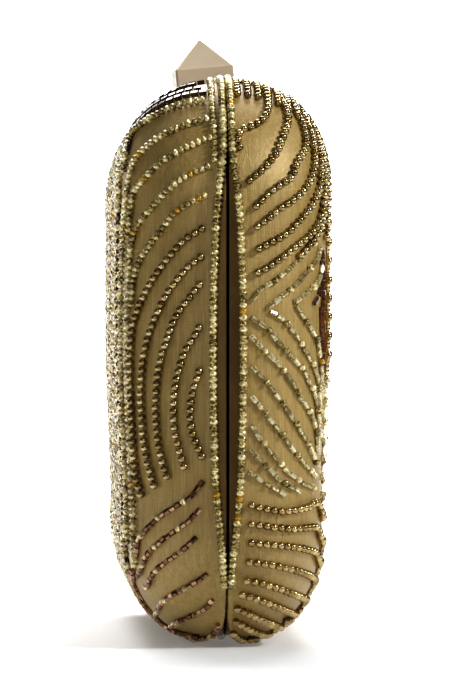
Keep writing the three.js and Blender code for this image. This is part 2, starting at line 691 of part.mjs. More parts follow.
for (const [side, centreX] of [["left", -HINGE_X], ["right", HINGE_X]]) {
  add(`hinge_leaf_back_${side}`, hingeLeaf(centreX, OUTER_KNUCKLES), champagneMetal);
  add(`hinge_leaf_front_${side}`, mirrored(hingeLeaf(centreX, INNER_KNUCKLE)), champagneMetal);
  const pin = headedPin(PIN_RADIUS, BARREL_RADIUS * 0.85, HINGE_LENGTH + 0.2, PIN_HEAD, centreX, 0, HINGE_Z);
  add(`hinge_pin_${side}`, pin, springSteel);
  hingeRivets(centreX).forEach((seat, i) => {
    add(`hinge_rivet_back_${side}_${i + 1}`, rivet(seat), champagneMetal);
    add(`hinge_rivet_front_${side}_${i + 1}`, mirrored(indexed(rivet(seat))), champagneMetal);
  });
}

add("clasp_stud", claspStud(), champagneMetal);
add("clasp_lever", claspLever(), champagneMetal);
const claspPinLength = 2 * (CHEEK_X + BRACKET_WALL) + 0.3;
add(
  "clasp_pin",
  headedPin(PIN_RADIUS, BARREL_RADIUS, claspPinLength, 0.5, 0, PIVOT_Y, PIVOT_Z),
  springSteel,
);
add("clasp_spring", claspSpring(), springSteel);
add("clasp_bracket", claspBracket(), champagneMetal);
add("clasp_plate", mirrored(claspPlate()), champagneMetal);
claspRivets.forEach((seat, i) => {
  add(`clasp_rivet_${i + 1}`, mirrored(indexed(rivet(seat))), champagneMetal);
});
add("catch_spring", catchSpring(), springSteel);
catchRivets.forEach((seat, i) => add(`catch_rivet_${i + 1}`, rivet(seat), champagneMetal));
add("lining_pocket", pocketPanel(), satinLining);
add("pocket_binding", pocketBinding(), satinLining);

export default bag;
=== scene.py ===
"""A hard evening clutch in bronze-gold silk, worked by hand with rows of metal and glass beads.

Lengths are in millimetres in the makers' classes, and become metres where a mesh is made.
"""

import json
import logging
import math
from dataclasses import dataclass
from enum import Enum

import bpy
import numpy as np
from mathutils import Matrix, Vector
from mathutils.bvhtree import BVHTree


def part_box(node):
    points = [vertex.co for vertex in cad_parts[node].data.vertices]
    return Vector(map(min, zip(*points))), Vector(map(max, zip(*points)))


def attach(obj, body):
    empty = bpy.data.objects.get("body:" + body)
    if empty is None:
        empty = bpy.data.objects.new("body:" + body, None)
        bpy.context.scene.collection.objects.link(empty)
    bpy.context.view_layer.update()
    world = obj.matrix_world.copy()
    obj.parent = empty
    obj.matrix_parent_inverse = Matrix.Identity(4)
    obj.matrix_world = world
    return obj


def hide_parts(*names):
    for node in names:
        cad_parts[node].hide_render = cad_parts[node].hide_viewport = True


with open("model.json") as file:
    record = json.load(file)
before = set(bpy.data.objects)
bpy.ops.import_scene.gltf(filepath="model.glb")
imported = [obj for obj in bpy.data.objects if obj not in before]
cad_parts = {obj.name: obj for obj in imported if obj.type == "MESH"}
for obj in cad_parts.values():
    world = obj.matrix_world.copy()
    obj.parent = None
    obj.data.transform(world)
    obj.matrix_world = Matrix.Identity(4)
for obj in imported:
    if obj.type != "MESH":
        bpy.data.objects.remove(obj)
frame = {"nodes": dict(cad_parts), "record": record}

log = logging.getLogger("evening_bag")
logging.basicConfig(level=logging.INFO, format="%(message)s")

MM = 0.001
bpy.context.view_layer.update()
FRONT, BACK = "front", "back"
SIDE_SIGN = {FRONT: -1.0, BACK: 1.0}
Points = np.ndarray


# ---------------------------------------------------------------------------------------------
# Small helpers for modelling
# ---------------------------------------------------------------------------------------------


def deselect() -> None:
    """Leave edit mode and select nothing."""
    if bpy.context.object and bpy.context.object.mode != "OBJECT":
        bpy.ops.object.mode_set(mode="OBJECT")
    bpy.ops.object.select_all(action="DESELECT")


def activate(piece: bpy.types.Object) -> None:
    """Make one object the active and only selected one.

    Args:
        piece: the object to work on.
    """
    deselect()
    piece.select_set(True)
    bpy.context.view_layer.objects.active = piece


def apply_modifier(piece: bpy.types.Object, kind: str, **settings: object) -> None:
    """Add a modifier to a piece and apply it.

    Args:
        piece: the object to change.
        kind: the modifier's type, such as "SOLIDIFY".
        settings: values for the modifier's properties.
    """
    activate(piece)
    modifier = piece.modifiers.new(kind.title(), kind)
    for name, value in settings.items():
        setattr(modifier, name, value)
    bpy.ops.object.modifier_apply(modifier=modifier.name)


def shade_smooth(piece: bpy.types.Object, degrees: float = 50.0) -> None:
    """Smooth every edge that turns less than an angle.

    Args:
        piece: the object to shade.
        degrees: the angle.
    """
    activate(piece)
    bpy.ops.object.shade_smooth_by_angle(angle=math.radians(degrees))


def mesh_piece(name: str, points: Points, faces: list | np.ndarray) -> bpy.types.Object:
    """Make an object at the origin from points in millimetres.

    Args:
        name: the piece's name.
        points: one row for each vertex.
        faces: the vertices of each face.

    Returns:
        The new object.
    """
    mesh = bpy.data.meshes.new(name)
    mesh.from_pydata((np.asarray(points) * MM).tolist(), [], [list(map(int, f)) for f in faces])
    mesh.validate()
    mesh.update()
    piece = bpy.data.objects.new(name, mesh)
    bpy.context.scene.collection.objects.link(piece)
    return piece


def turn_faces_out(piece: bpy.types.Object) -> None:
    """Point all faces of a closed piece outwards.

    Args:
        piece: the object to mend.
    """
    activate(piece)
    bpy.ops.object.mode_set(mode="EDIT")
    bpy.ops.mesh.select_all(action="SELECT")
    bpy.ops.mesh.normals_make_consistent(inside=False)
    bpy.ops.object.mode_set(mode="OBJECT")


def even_steps(points: Points, pitch: float, inset: float = 0.0) -> Points:
    """Places at an even pitch along a polyline.

    Args:
        points: the polyline.
        pitch: the distance between places.
        inset: the length left free at each end.

    Returns:
        One row for each place.
    """
    lengths = np.linalg.norm(np.diff(points, axis=0), axis=1)
    along = np.concatenate([[0.0], np.cumsum(lengths)])
    usable = along[-1] - 2 * inset
    count = max(2, int(round(usable / pitch)) + 1)
    at = np.linspace(inset, along[-1] - inset, count)
    return np.stack([np.interp(at, along, points[:, axis]) for axis in range(points.shape[1])], 1)


def smooth_curve(points: list[tuple[float, float]], samples: int = 28) -> Points:
    """A Catmull-Rom curve through control points.

    Args:
        points: the control points.
        samples: how many places to return along it.

    Returns:
        One row for each place, spaced evenly by chord length.
    """
    p = np.asarray(points, float)
    if len(p) == 2:
        return p[0] + np.linspace(0, 1, samples)[:, None] * (p[1] - p[0])
    knots = np.concatenate([[0], np.cumsum(np.linalg.norm(np.diff(p, axis=0), axis=1))])
    slopes = np.gradient(p, knots, axis=0)
    at = np.linspace(0, knots[-1], samples)
    k = np.clip(np.searchsorted(knots, at, side="right") - 1, 0, len(p) - 2)
    span = (knots[k + 1] - knots[k])[:, None]
    t = ((at - knots[k])[:, None]) / span
    blend_a = 2 * t**3 - 3 * t**2 + 1
    blend_b = t**3 - 2 * t**2 + t
    blend_d = t**3 - t**2
    return (
        blend_a * p[k]
        + blend_b * span * slopes[k]
        + (1 - blend_a) * p[k + 1]
        + blend_d * span * slopes[k + 1]
    )


# ---------------------------------------------------------------------------------------------
# The form of the bag
# ---------------------------------------------------------------------------------------------


# How far the silk's edge stands off the seam plane at a height.
SILK_EDGE = (
    (0.6, 1.9), (2.2, 0.8), (5, 0.25), (14, 0.2), (21, 0.6), (29, 1.5), (38, 2.3), (52, 2.7), (66, 2.85),
    (82, 2.7), (97, 2.1), (105, 1.3), (112, 0.45), (130, 0.3),
)


@dataclass(frozen=True)
class BagForm:
    """The domed form of one half. Depths are counted in from the tops of the beads."""

    length: float
    height: float
    corner: float = 29.0
    depth: float = 25.0
    crown: float = 0.6
    roll: float = 27.0  # how far in from the outline the shoulder's roll ends
    power: float = 2.3
    taper: float = 0.05  # share of the depth that is lost at the foot
    taper_top: float = 75.0
    sink: float = 0.8  # how much lower than round the foot's corners sit
    foot: float = 0.25  # height of the flat foot
    silk: float = 1.8
    board: float = 2.75
    shoulder: float = 20.5  # beyond this, places on an end are measured along the surface

    @classmethod
    def from_frame(cls) -> "BagForm":
        """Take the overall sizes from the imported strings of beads.

        Returns:
            The form, to the nearest millimetre.
        """
        low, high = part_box("bead_trim_back")
        return cls(length=float(round((high[0] - low[0]) / MM)), height=float(round(high[2] / MM)))

    @property
    def half(self) -> float:
        """Half the length of the straight top."""
        return self.length / 2 - self.corner

    @property
    def low(self) -> float:
        """Height of the centres of the foot's corners."""
        return self.corner - self.sink

    @property
    def high(self) -> float:
        """Height of the centres of the top's corners."""
        return self.height - self.corner

    def depth_at(self, z: Points) -> Points:
        """Half depth of the body at a height.

        Args:
            z: heights.

        Returns:
            The half depths there, less towards the foot.
        """
        t = np.clip((np.asarray(z, float) - self.roll) / (self.taper_top - self.roll), 0, 1)
        return self.depth * (1 - self.taper * (1 - t * t * (3 - 2 * t)))

    def inset_at(self, y: Points, layer: float, depth: Points) -> Points:
        """How far in from the outline a layer lies.

        Args:
            y: distances from the seam plane.
            layer: depth of the layer.
            depth: half depth of the body there.

        Returns:
            The distances in from the outline.
        """
        share = np.clip(np.abs(y) / (depth - layer), 0, 1) ** self.power
        return layer + (self.roll - layer) * (1 - (1 - share) ** (1 / self.power))

    def rise_at(self, inset: Points, layer: float, depth: Points) -> Points:
        """How far from the seam plane a layer lies.

        Args:
            inset: distances in from the outline.
            layer: depth of the layer.
            depth: half depth of the body there.

        Returns:
            The distances from the seam plane.
        """
        t = np.clip((inset - layer) / (self.roll - layer), 0, 1)
        return (depth - layer) * (1 - (1 - t) ** self.power) ** (1 / self.power)

    def crown_at(self, x: Points, z: Points) -> Points:
        """Extra height of the crowned panel.

        Args:
            x: places along the bag.
            z: heights.

        Returns:
            The extra heights.
        """
        u = x / (self.length / 2 - self.roll)
        v = (z - self.height / 2) / (self.height / 2 - self.roll)
        return self.crown * np.clip(1 - u * u, 0, None) * np.clip(1 - v * v, 0, None)

    def face_point(self, x: Points, z: Points, layer: float) -> Points:
        """Points of a layer seen square on to the broad face.

        Args:
            x: places along the bag.
            z: heights.
            layer: depth of the layer.

        Returns:
            One row for each point, on the back half.
        """
        x, z = np.broadcast_arrays(np.asarray(x, float), np.asarray(z, float))
        dx = np.clip(np.abs(x) - self.half, 0, None)
        dz = z - np.clip(z, self.low, self.high)
        inset = self.corner - np.hypot(dx, dz)
        inside = np.minimum(self.height / 2 - np.abs(z - self.height / 2), self.length / 2 - np.abs(x))
        inset = np.where(inset >= self.corner, np.maximum(inset, inside), inset)
        y = self.rise_at(inset, layer, self.depth_at(z)) + self.crown_at(x, z)
        return np.stack([x, y, np.maximum(z, 0)], -1)

    def end_point(self, y: Points, z: Points, layer: float, end: float) -> Points:
        """Points of a layer seen square on to one narrow end.

        Args:
            y: distances from the seam plane, and past the shoulder the way along the surface.
            z: heights.
            layer: depth of the layer.
            end: 1 for the end at +X and -1 for the other.

        Returns:
            One row for each point.
        """
        y, z = np.broadcast_arrays(np.asarray(y, float), np.asarray(z, float))
        y, inset = self._wrapped(np.abs(y), layer)
        y = y * self.depth_at(z) / self.depth
        reach = self.corner - inset
        over = (z - np.clip(z, self.low, self.high)) / np.maximum(reach, 0.5)
        out = np.sqrt(np.clip(1 - over * over, 0, 1))
        return np.stack([end * (self.half + reach * out), y, z], -1)

    def _wrapped(self, across: Points, layer: float) -> tuple[Points, Points]:
        """Distance from the seam plane and inset, for places measured round the shoulder."""
        steps, beyond = 400, 40
        angle = np.linspace(0, math.pi / 2, steps)
        y = (self.depth - layer) * np.sin(angle) ** (2 / self.power)
        inset = layer + (self.roll - layer) * (1 - np.cos(angle) ** (2 / self.power))
        y = np.concatenate([y, np.full(beyond, y[-1])])
        inset = np.concatenate([inset, inset[-1] + np.linspace(1, beyond, beyond)])
        along = np.concatenate([[0], np.cumsum(np.hypot(np.diff(y), np.diff(inset)))])
        turn = np.interp(self.shoulder, y[:steps], along[:steps])
        before = np.interp(across, y[:steps], along[:steps])
        reach = np.where(across <= self.shoulder, before, turn + across - self.shoulder)
        return np.interp(reach, along, y), np.interp(reach, along, inset)

    def stations(self, count: int) -> Points:
        """Stations evenly along the outline in the seam plane.

        Args:
            count: how many.

        Returns:
            Rows of x, z, outward x and outward z, from the foot's right corner up and round.
        """
        arc = self.corner * math.pi / 2
        up, across = self.high - self.low, 2 * self.half
        spans = [arc, up, arc, across, arc, up, arc, across]
        ends = np.cumsum(spans)
        corners = [(1, self.low), (1, self.high), (-1, self.high), (-1, self.low), (1, self.low)]
        rows = []
        for s in np.linspace(0, ends[-1], count, endpoint=False):
            leg = int(np.searchsorted(ends, s, side="right"))
            share = (s - (ends[leg] - spans[leg])) / spans[leg]
            side = leg // 2
            (x0, z0), (x1, z1) = corners[side], corners[side + 1]
            if leg % 2 == 0:
                angle = math.radians(90 * (side - 1) + 90 * share)
                rows.append([x0 * self.half, z0, math.cos(angle), math.sin(angle)])
            else:
                angle = math.radians(90 * side)
                x = (x0 + (x1 - x0) * share) * self.half
                z = z0 + (z1 - z0) * share
                rows.append([x, z, math.cos(angle), math.sin(angle)])
        return np.array(rows)

    def ring_point(self, stations: Points, y: Points, layer: float) -> Points:
        """The points of a layer at each station.

        Args:
            stations: rows of x, z, outward x and outward z.
            y: distances from the seam plane.
            layer: depth of the layer.

        Returns:
            One row for each point, on the back half.
        """
        x, z, out_x, out_z = stations.T
        rim = z + out_z * self.corner
        reach = self.corner - self.inset_at(y, layer, self.depth_at(rim))
        height = np.maximum(z + out_z * reach, self.foot_level(layer))
        return np.stack([x + out_x * reach, np.broadcast_to(y, x.shape), height], -1)

    def foot_level(self, layer: float) -> float:
        """Height of the flat foot.

        Args:
            layer: depth of the layer.

        Returns:
            The height there.
        """
        return max(layer - self.silk, 0.0) + self.foot if layer > 0 else 0.0

    def silk_edge(self, stations: Points) -> Points:
        """How far the silk's edge stands off the seam plane.

        Args:
            stations: rows of x, z, outward x and outward z.

        Returns:
            The distance at each station.
        """
        height = stations[:, 1] + stations[:, 3] * self.corner
        return np.interp(height, *zip(*SILK_EDGE))


# ---------------------------------------------------------------------------------------------
# Finishes
# ---------------------------------------------------------------------------------------------


class Value:
    """A shader socket, with the arithmetic that adds its Math nodes."""

    def __init__(self, shop: "Shader", socket: bpy.types.NodeSocket) -> None:
        """Wrap a socket of a shader's tree."""
        self.shop = shop
        self.socket = socket

    def _math(self, operation: str, a: object, b: object) -> "Value":
        """Add a Math node for one operation."""
        return self.shop.node("ShaderNodeMath", {"operation": operation}, {0: a, 1: b})

    def __add__(self, other: object) -> "Value":
        """Sum."""
        return self._math("ADD", self, other)

    __radd__ = __add__

    def __mul__(self, other: object) -> "Value":
        """Product."""
        return self._math("MULTIPLY", self, other)

    __rmul__ = __mul__

    def above(self, other: object) -> "Value":
        """1 where this is greater than another."""
        return self._math("GREATER_THAN", self, other)


class Shader:
    """A material under construction."""

    def __init__(self, name: str, **fixed: object) -> None:
        """Start a material with a Principled shader.

        Args:
            name: the material's name.
            fixed: constant values for its sockets, by name.
        """
        self.material = bpy.data.materials.new(name)
        self.material.use_nodes = True
        self.tree = self.material.node_tree
        self.surface = self.tree.nodes["Principled BSDF"]
        for socket, value in fixed.items():
            self.surface.inputs[socket.replace("_", " ").title()].default_value = value

    def node(self, kind: str, settings: dict, inputs: dict, output: int | str = 0) -> Value:
        """Add a node.

        Args:
            kind: the node's type.
            settings: its properties; "stops" fills a colour ramp.
            inputs: values or links for its sockets, by name or number.
            output: which output to hand back.

        Returns:
            The output as a value.
        """
        made = self.tree.nodes.new(kind)
        for name, value in settings.items():
            if name == "stops":
                self.fill_ramp(made.color_ramp, value)
            else:
                setattr(made, name, value)
        for name, value in inputs.items():
            if isinstance(value, Value):
                self.tree.links.new(value.socket, made.inputs[name])
            else:
                made.inputs[name].default_value = value
        return Value(self, made.outputs[output])

    @staticmethod
    def fill_ramp(ramp: bpy.types.ColorRamp, stops: list | tuple) -> None:
        """Set a colour ramp's stops."""
        while len(ramp.elements) < len(stops):
            ramp.elements.new(1.0)
        for element, (at, colour) in zip(ramp.elements, stops):
            element.position = at
            element.color = (*colour, 1.0)

    def places(self) -> Value:
        """The object's own coordinates, in metres."""
        return self.node("ShaderNodeTexCoord", {}, {}, "Object")

    def stretched(self, scale: tuple[float, float, float]) -> Value:
        """Object coordinates scaled along each axis.

        Args:
            scale: the factor for each axis.

        Returns:
            The scaled coordinates.
        """
        return self.node("ShaderNodeMapping", {}, {"Vector": self.places(), "Scale": scale})

    def bead_tone(self) -> Value:
        """The tone that was drawn for each bead, from 0 to 1."""
        return self.node("ShaderNodeAttribute", {"attribute_name": "tone"}, {}, "Fac")

    def noise(self, where: Value, scale: float, detail: float = 3.0, rough: float = 0.5) -> Value:
        """Noise from 0 to 1.

        Args:
            where: the coordinates.
            scale: how fine it is.
            detail: how many finer layers it has.
            rough: how strong the finer layers are.

        Returns:
            The noise.
        """
        inputs = {"Vector": where, "Scale": scale, "Detail": detail, "Roughness": rough}
        return self.node("ShaderNodeTexNoise", {}, inputs)

    def ramp(self, factor: Value, stops: list) -> Value:
        """A colour for each value of a factor.

        Args:
            factor: the factor.
            stops: pairs of a place from 0 to 1 and a colour.

        Returns:
            The colour.
        """
        return self.node("ShaderNodeValToRGB", {"stops": stops}, {"Fac": factor})

    def mix(self, factor: Value, a: object, b: object) -> Value:
        """A mix of two colours.

        Args:
            factor: the share of the second.
            a: the first colour.
            b: the second colour.

        Returns:
            The colour.
        """
        first, second = (c if isinstance(c, Value) else (*c, 1) for c in (a, b))
        return self.node("ShaderNodeMix", {"data_type": "RGBA"}, {0: factor, 6: first, 7: second}, 2)

    def bump(self, height: Value, distance: float, strength: float = 1.0) -> Value:
        """A normal bent by a height.

        Args:
            height: the height, from 0 to 1.
            distance: the relief, in metres.
            strength: how much of it is used.

        Returns:
            The normal.
        """
        inputs = {"Height": height, "Distance": distance, "Strength": strength}
        return self.node("ShaderNodeBump", {}, inputs)

    def feed(self, **links: Value) -> bpy.types.Material:
        """Link values to the surface's sockets.

        Args:
            links: a value for each socket, by name.

        Returns:
            The finished material.
        """
        for name, value in links.items():
            self.tree.links.new(value.socket, self.surface.inputs[name.replace("_", " ").title()])
        return self.material


@dataclass(frozen=True)
class DupionSilk:
    """Slubbed silk: fine threads up the bag, thicker ones here and there, and a warm sheen."""

    deep: tuple = (0.20, 0.13, 0.035)
    body: tuple = (0.34, 0.235, 0.075)
    light: tuple = (0.48, 0.345, 0.125)

    def make(self) -> bpy.types.Material:
        """Build the silk's material."""
        s = Shader(
            "dupion_silk", roughness=0.46, metallic=0.2, sheen_weight=0.12, sheen_roughness=0.35,
            sheen_tint=(1.0, 0.82, 0.5, 1.0),
        )
        threads = s.noise(s.stretched((3400, 3400, 220)), 1.0, 3.0, 0.6)
        slubs = s.noise(s.stretched((1000, 1000, 45)), 1.0, 4.0, 0.65)
        weft = s.noise(s.stretched((420, 420, 3800)), 1.0, 2.0, 0.5)
        tone = threads * 0.45 + slubs * 0.4 + weft * 0.15
        colour = s.ramp(tone, [(0.28, self.deep), (0.5, self.body), (0.72, self.light)])
        relief = threads * 0.5 + slubs * 0.9 + weft * 0.35
        rough = 0.36 + slubs * 0.24
        return s.feed(base_color=colour, roughness=rough, normal=s.bump(relief, 0.00016, 0.9))


@dataclass(frozen=True)
class MetalBead:
    """Plated beads, each a little different from the next."""

    name: str
    dark: tuple
    bright: tuple
    rough: float = 0.16

    def make(self) -> bpy.types.Material:
        """Build the beads' material."""
        s = Shader(self.name, metallic=1.0, roughness=self.rough)
        tone = s.bead_tone()
        worn = s.noise(s.stretched((900, 900, 900)), 1.0, 2.0)
        colour = s.ramp(tone * 0.75 + worn * 0.25, [(0.15, self.dark), (0.85, self.bright)])
        return s.feed(base_color=colour, roughness=self.rough + worn * 0.14)


@dataclass(frozen=True)
class GlassBead:
    """Lined glass beads seen through clear or tinted glass, with painted glints: fine noise paints
    highlights and dark shade into each bead's colour.
    """

    name: str
    stops: tuple
    rough: float = 0.12
    metal: float = 0.5
    stray: tuple | None = None  # colour of the odd bead
    stray_share: float = 0.015

    def make(self) -> bpy.types.Material:
        """Build the beads' material."""
        s = Shader(
            self.name, metallic=self.metal, roughness=self.rough, coat_weight=0.45, coat_roughness=0.04
        )
        tone = s.bead_tone()
        # Painted glints: this fine noise lays the ramp's brightest stops as highlights and its darkest as
        # shade over every bead.
        painted_glints = s.noise(s.stretched((1900, 1900, 1900)), 1.0, 2.0)
        colour = s.ramp(tone * 0.25 + painted_glints * 0.75, list(self.stops))
        if self.stray:
            colour = s.mix(tone.above(1 - self.stray_share), colour, self.stray)
        return s.feed(base_color=colour, roughness=self.rough + painted_glints * 0.2)


@dataclass(frozen=True)
class BrushedMetal:
    """Plated metal with a fine brushed grain."""

    name: str
    colour: tuple
    worn: tuple
    rough: float = 0.3
    grain: tuple = (300, 300, 6000)
    metal: float = 1.0

    def make(self) -> bpy.types.Material:
        """Build the metal's material."""
        s = Shader(self.name, metallic=self.metal, roughness=self.rough)
        lines = s.noise(s.stretched(self.grain), 1.0, 3.0, 0.6)
        patches = s.noise(s.stretched((120, 120, 120)), 1.0, 3.0)
        colour = s.mix(patches, self.colour, self.worn)
        rough = (self.rough - 0.1) + lines * 0.14 + patches * 0.06
        return s.feed(base_color=colour, roughness=rough, normal=s.bump(lines, 0.00002, 0.35))


@dataclass(frozen=True)
class LiningSatin:
    """Champagne satin with a fine cross weave, and painted fold shading: lighter on the fold ridges and
    darker in their hollows.
    """

    name: str = "lining_satin"
    body: tuple = (0.26, 0.185, 0.085)
    light: tuple = (0.38, 0.285, 0.15)

    def make(self) -> bpy.types.Material:
        """Build the satin's material."""
        s = Shader(self.name, roughness=0.5, sheen_weight=0.1)
        threads = s.noise(s.stretched((3200, 3200, 240)), 1.0, 2.0)
        folds_and_painted_shade = s.noise(s.stretched((30, 30, 9)), 1.0, 3.0)
        # Painted fold shading: the colour is lighter where the folds rise and darker in their hollows, over
        # the weave's own tone.
        colour = s.mix(threads * 0.4 + folds_and_painted_shade * 0.6, self.body, self.light)
        return s.feed(
            base_color=colour, roughness=0.5 + folds_and_painted_shade * 0.2, normal=s.bump(threads + folds_and_painted_shade * 3, 0.00008)
        )


@dataclass(frozen=True)
class Plain:
    """A plain surface with a fine grain, for what is hidden and for thread."""

    name: str
    colour: tuple
    rough: float = 0.7

    def make(self) -> bpy.types.Material:
        """Build the material."""
        s = Shader(self.name, roughness=self.rough)
        grain = s.noise(s.stretched((1800, 1800, 1800)), 1.0, 3.0)
        colour = s.mix(grain, self.colour, tuple(c * 0.7 for c in self.colour))
        return s.feed(base_color=colour, normal=s.bump(grain, 0.00006))


# ---------------------------------------------------------------------------------------------
# Beads
# ---------------------------------------------------------------------------------------------


class Bead(Enum):
    """The kinds of bead that are sewn on."""

    GOLD_ROUND = "gold_round"
    BRIGHT_ROUND = "bright_round"
    BRONZE_CUT = "bronze_cut"
    CHAMPAGNE_SEED = "champagne_seed"
    BUGLE = "clear_bugle"
    GARNET_SQUARE = "garnet_square"
    GARNET_BUGLE = "garnet_bugle"


@dataclass(frozen=True)
class BeadSize:
    """A bead's size along its thread and across it, and how it sits."""

    long: float
    wide: float
    pitch: float
    sides: int
    round_ends: bool = False
    jitter: float = 0.05


BEAD_SIZES = {
    Bead.GOLD_ROUND: BeadSize(1.76, 1.92, 1.79, 10, True, 0.03),
    Bead.BRIGHT_ROUND: BeadSize(1.74, 1.88, 1.77, 10, True, 0.03),
    Bead.BRONZE_CUT: BeadSize(1.3, 1.35, 1.5, 6),
    Bead.CHAMPAGNE_SEED: BeadSize(1.34, 1.72, 1.36, 8, True, 0.07),
    Bead.BUGLE: BeadSize(1.9, 1.15, 2.05, 8),
    Bead.GARNET_SQUARE: BeadSize(1.65, 1.4, 1.95, 4),
    Bead.GARNET_BUGLE: BeadSize(2.2, 1.2, 2.35, 6),
}


class BeadTray:
    """Models one bead of each kind, as patterns for the copies."""

    def __init__(self) -> None:
        """Turn and cut the beads."""
        self.shapes = {kind: self._pattern(kind, size) for kind, size in BEAD_SIZES.items()}

    def _pattern(self, kind: Bead, size: BeadSize) -> tuple[Points, list]:
        """Model one bead about the X axis.

        Args:
            kind: which bead.
            size: its size.

        Returns:
            Its points in millimetres and its faces.
        """
        deselect()
        if size.round_ends:
            bpy.ops.mesh.primitive_uv_sphere_add(segments=size.sides, ring_count=6, radius=0.5)
            bead = bpy.context.object
        else:
            bead = self._cut_bead(size)
        bead.name = kind.value
        points = np.array([v.co[:] for v in bead.data.vertices])
        points = points[:, [2, 0, 1]] * np.array([size.long, size.wide, size.wide])
        faces = [list(p.vertices) for p in bead.data.polygons]
        bpy.data.objects.remove(bead)
        return points, faces

    @staticmethod
    def _cut_bead(size: BeadSize) -> bpy.types.Object:
        """A short tube with softened ends and a dimple where the thread goes in.

        Args:
            size: the bead's size.

        Returns:
            The bead, one unit long and wide.
        """
        bpy.ops.mesh.primitive_cylinder_add(vertices=size.sides, radius=0.5, depth=1.0)
        bead = bpy.context.object
        bpy.ops.object.mode_set(mode="EDIT")
        bpy.ops.mesh.select_mode(type="FACE")
        bpy.ops.mesh.select_all(action="DESELECT")
        bpy.ops.object.mode_set(mode="OBJECT")
        for face in bead.data.polygons:
            face.select = abs(face.normal.z) > 0.9
        bpy.ops.object.mode_set(mode="EDIT")
        soft = 0.16 if size.sides > 6 else 0.07
        bpy.ops.mesh.inset(thickness=soft)
        bpy.ops.transform.resize(value=(1.0, 1.0, 1.0 + soft * size.wide / size.long))
        bpy.ops.mesh.inset(thickness=0.12)
        bpy.ops.transform.resize(value=(0.7, 0.7, 0.82))
        bpy.ops.object.mode_set(mode="OBJECT")
        reach = max(abs(v.co.z) for v in bead.data.vertices)
        for vertex in bead.data.vertices:
            vertex.co.z *= 0.5 / reach
        return bead


@dataclass
class Strand:
    """A run of beads on one thread: a kind of bead, and the line that the thread follows."""

    bead: Bead
    line: Points
    mixed: Bead | None = None
    mix_every: int = 0


class Embroidery:
    """Lays strands of beads on the silk of one half and joins the copies into pieces."""

    MOST_TRIANGLES = 150000
    SEAT = 0.42  # share of the bead's width that its middle stands above the silk
    FOOT_CLEAR = 0.6  # beads whose middle is lower than this share of their width would touch the ground
    CORE = Vector((0.0, 0.0, 65.0))  # a point well inside the bag

    def __init__(self, side: str, silk: bpy.types.Object, tray: BeadTray) -> None:
        """Get ready to sew on a half.

        Args:
            side: "front" or "back".
            silk: the silk that the beads are sewn to.
            tray: the patterns of the beads.
        """
        self.side = side
        self.sign = SIDE_SIGN[side]
        self.tray = tray
        self.dice = np.random.default_rng(7 if side == FRONT else 11)
        mesh = silk.data
        points = [v.co / MM for v in mesh.vertices]
        self.skin = BVHTree.FromPolygons(points, [list(p.vertices) for p in mesh.polygons])
        self.places: dict[Bead, list] = {kind: [] for kind in Bead}
        self.threads: list[Points] = []

    def _seat(self, points: Points) -> tuple[Points, Points]:
        """The nearest places on the silk and the silk's outward normals there."""
        seats, normals = [], []
        for point in points:
            spot, normal, _, _ = self.skin.find_nearest(Vector(point))
            outward = Vector((point[0] * 0.2, self.sign * 12.0, (point[2] - self.CORE.z) * 0.2))
            if normal.dot(outward) < 0 and normal.dot(spot - self.CORE) < 0:
                normal = -normal
            seats.append(spot[:])
            normals.append(normal[:])
        return np.array(seats), np.array(normals)

    def sew(self, strand: Strand) -> None:
        """Sew one strand of beads along its line.

        Args:
            strand: the beads and the line, in millimetres on the back half's side.
        """
        line = strand.line.copy()
        line[:, 1] = np.abs(line[:, 1]) * self.sign
        size = BEAD_SIZES[strand.bead]
        spots = even_steps(line, size.pitch, size.long / 2)
        if len(spots) < 2:
            return
        seats, normals = self._seat(spots)
        along = np.gradient(seats, axis=0)
        for k, (seat, normal, way) in enumerate(zip(seats, normals, along)):
            swap = strand.mixed and strand.mix_every and k % strand.mix_every == strand.mix_every - 1
            kind = strand.mixed if swap else strand.bead
            self._place(kind, seat, normal, way)
        self.threads.append(seats + normals * 0.4)

    def _place(self, kind: Bead, seat: Points, normal: Points, way: Points) -> None:
        """Note where one bead goes.

        Args:
            kind: which bead.
            seat: the place on the silk under it.
            normal: the silk's outward normal there.
            way: the direction of the thread.
        """
        size = BEAD_SIZES[kind]
        way = way - normal * np.dot(way, normal)
        way = way / max(np.linalg.norm(way), 1e-9)
        way = way + self.dice.normal(0, size.jitter, 3)
        way = way - normal * np.dot(way, normal) * 0.8
        way = way / np.linalg.norm(way)
        across = np.cross(normal, way)
        across /= np.linalg.norm(across)
        up = np.cross(way, across)
        scale = 1 + self.dice.normal(0, size.jitter * 0.6)
        spin = self.dice.uniform(0, math.pi) if size.sides != 4 else math.pi / 4
        middle = seat + normal * size.wide * self.SEAT + across * self.dice.normal(0, 0.04)
        if middle[2] < size.wide * scale * self.FOOT_CLEAR:
            return
        turned = across * math.cos(spin) + up * math.sin(spin)
        basis = np.stack([way, turned, up * math.cos(spin) - across * math.sin(spin)])
        self.places[kind].append((middle, basis * scale, self.dice.uniform()))

    def pieces(self) -> list[bpy.types.Object]:
        """Join the copies of each kind of bead into pieces of a handy size.

        Returns:
            The new objects.
        """
        made = []
        for kind, places in self.places.items():
            if not places:
                continue
            points, faces = self.tray.shapes[kind]
            triangles = sum(len(f) - 2 for f in faces)
            batch = self.MOST_TRIANGLES // triangles
            for number, start in enumerate(range(0, len(places), batch)):
                name = f"{kind.value}_beads_{self.side}_{number + 1}"
                made.append(copies(name, points, faces, places[start : start + batch]))
        return made

    def thread_piece(self) -> bpy.types.Object:
        """The thread that runs under the beads, as one piece.

        Returns:
            The new object.
        """
        all_points, all_faces, start = [], [], 0
        for line in self.threads:
            points, faces = tube(line, 0.16, 4)
            all_points.append(points)
            all_faces += [[v + start for v in f] for f in faces]
            start += len(points)
        return mesh_piece(f"bead_thread_{self.side}", np.concatenate(all_points), all_faces)


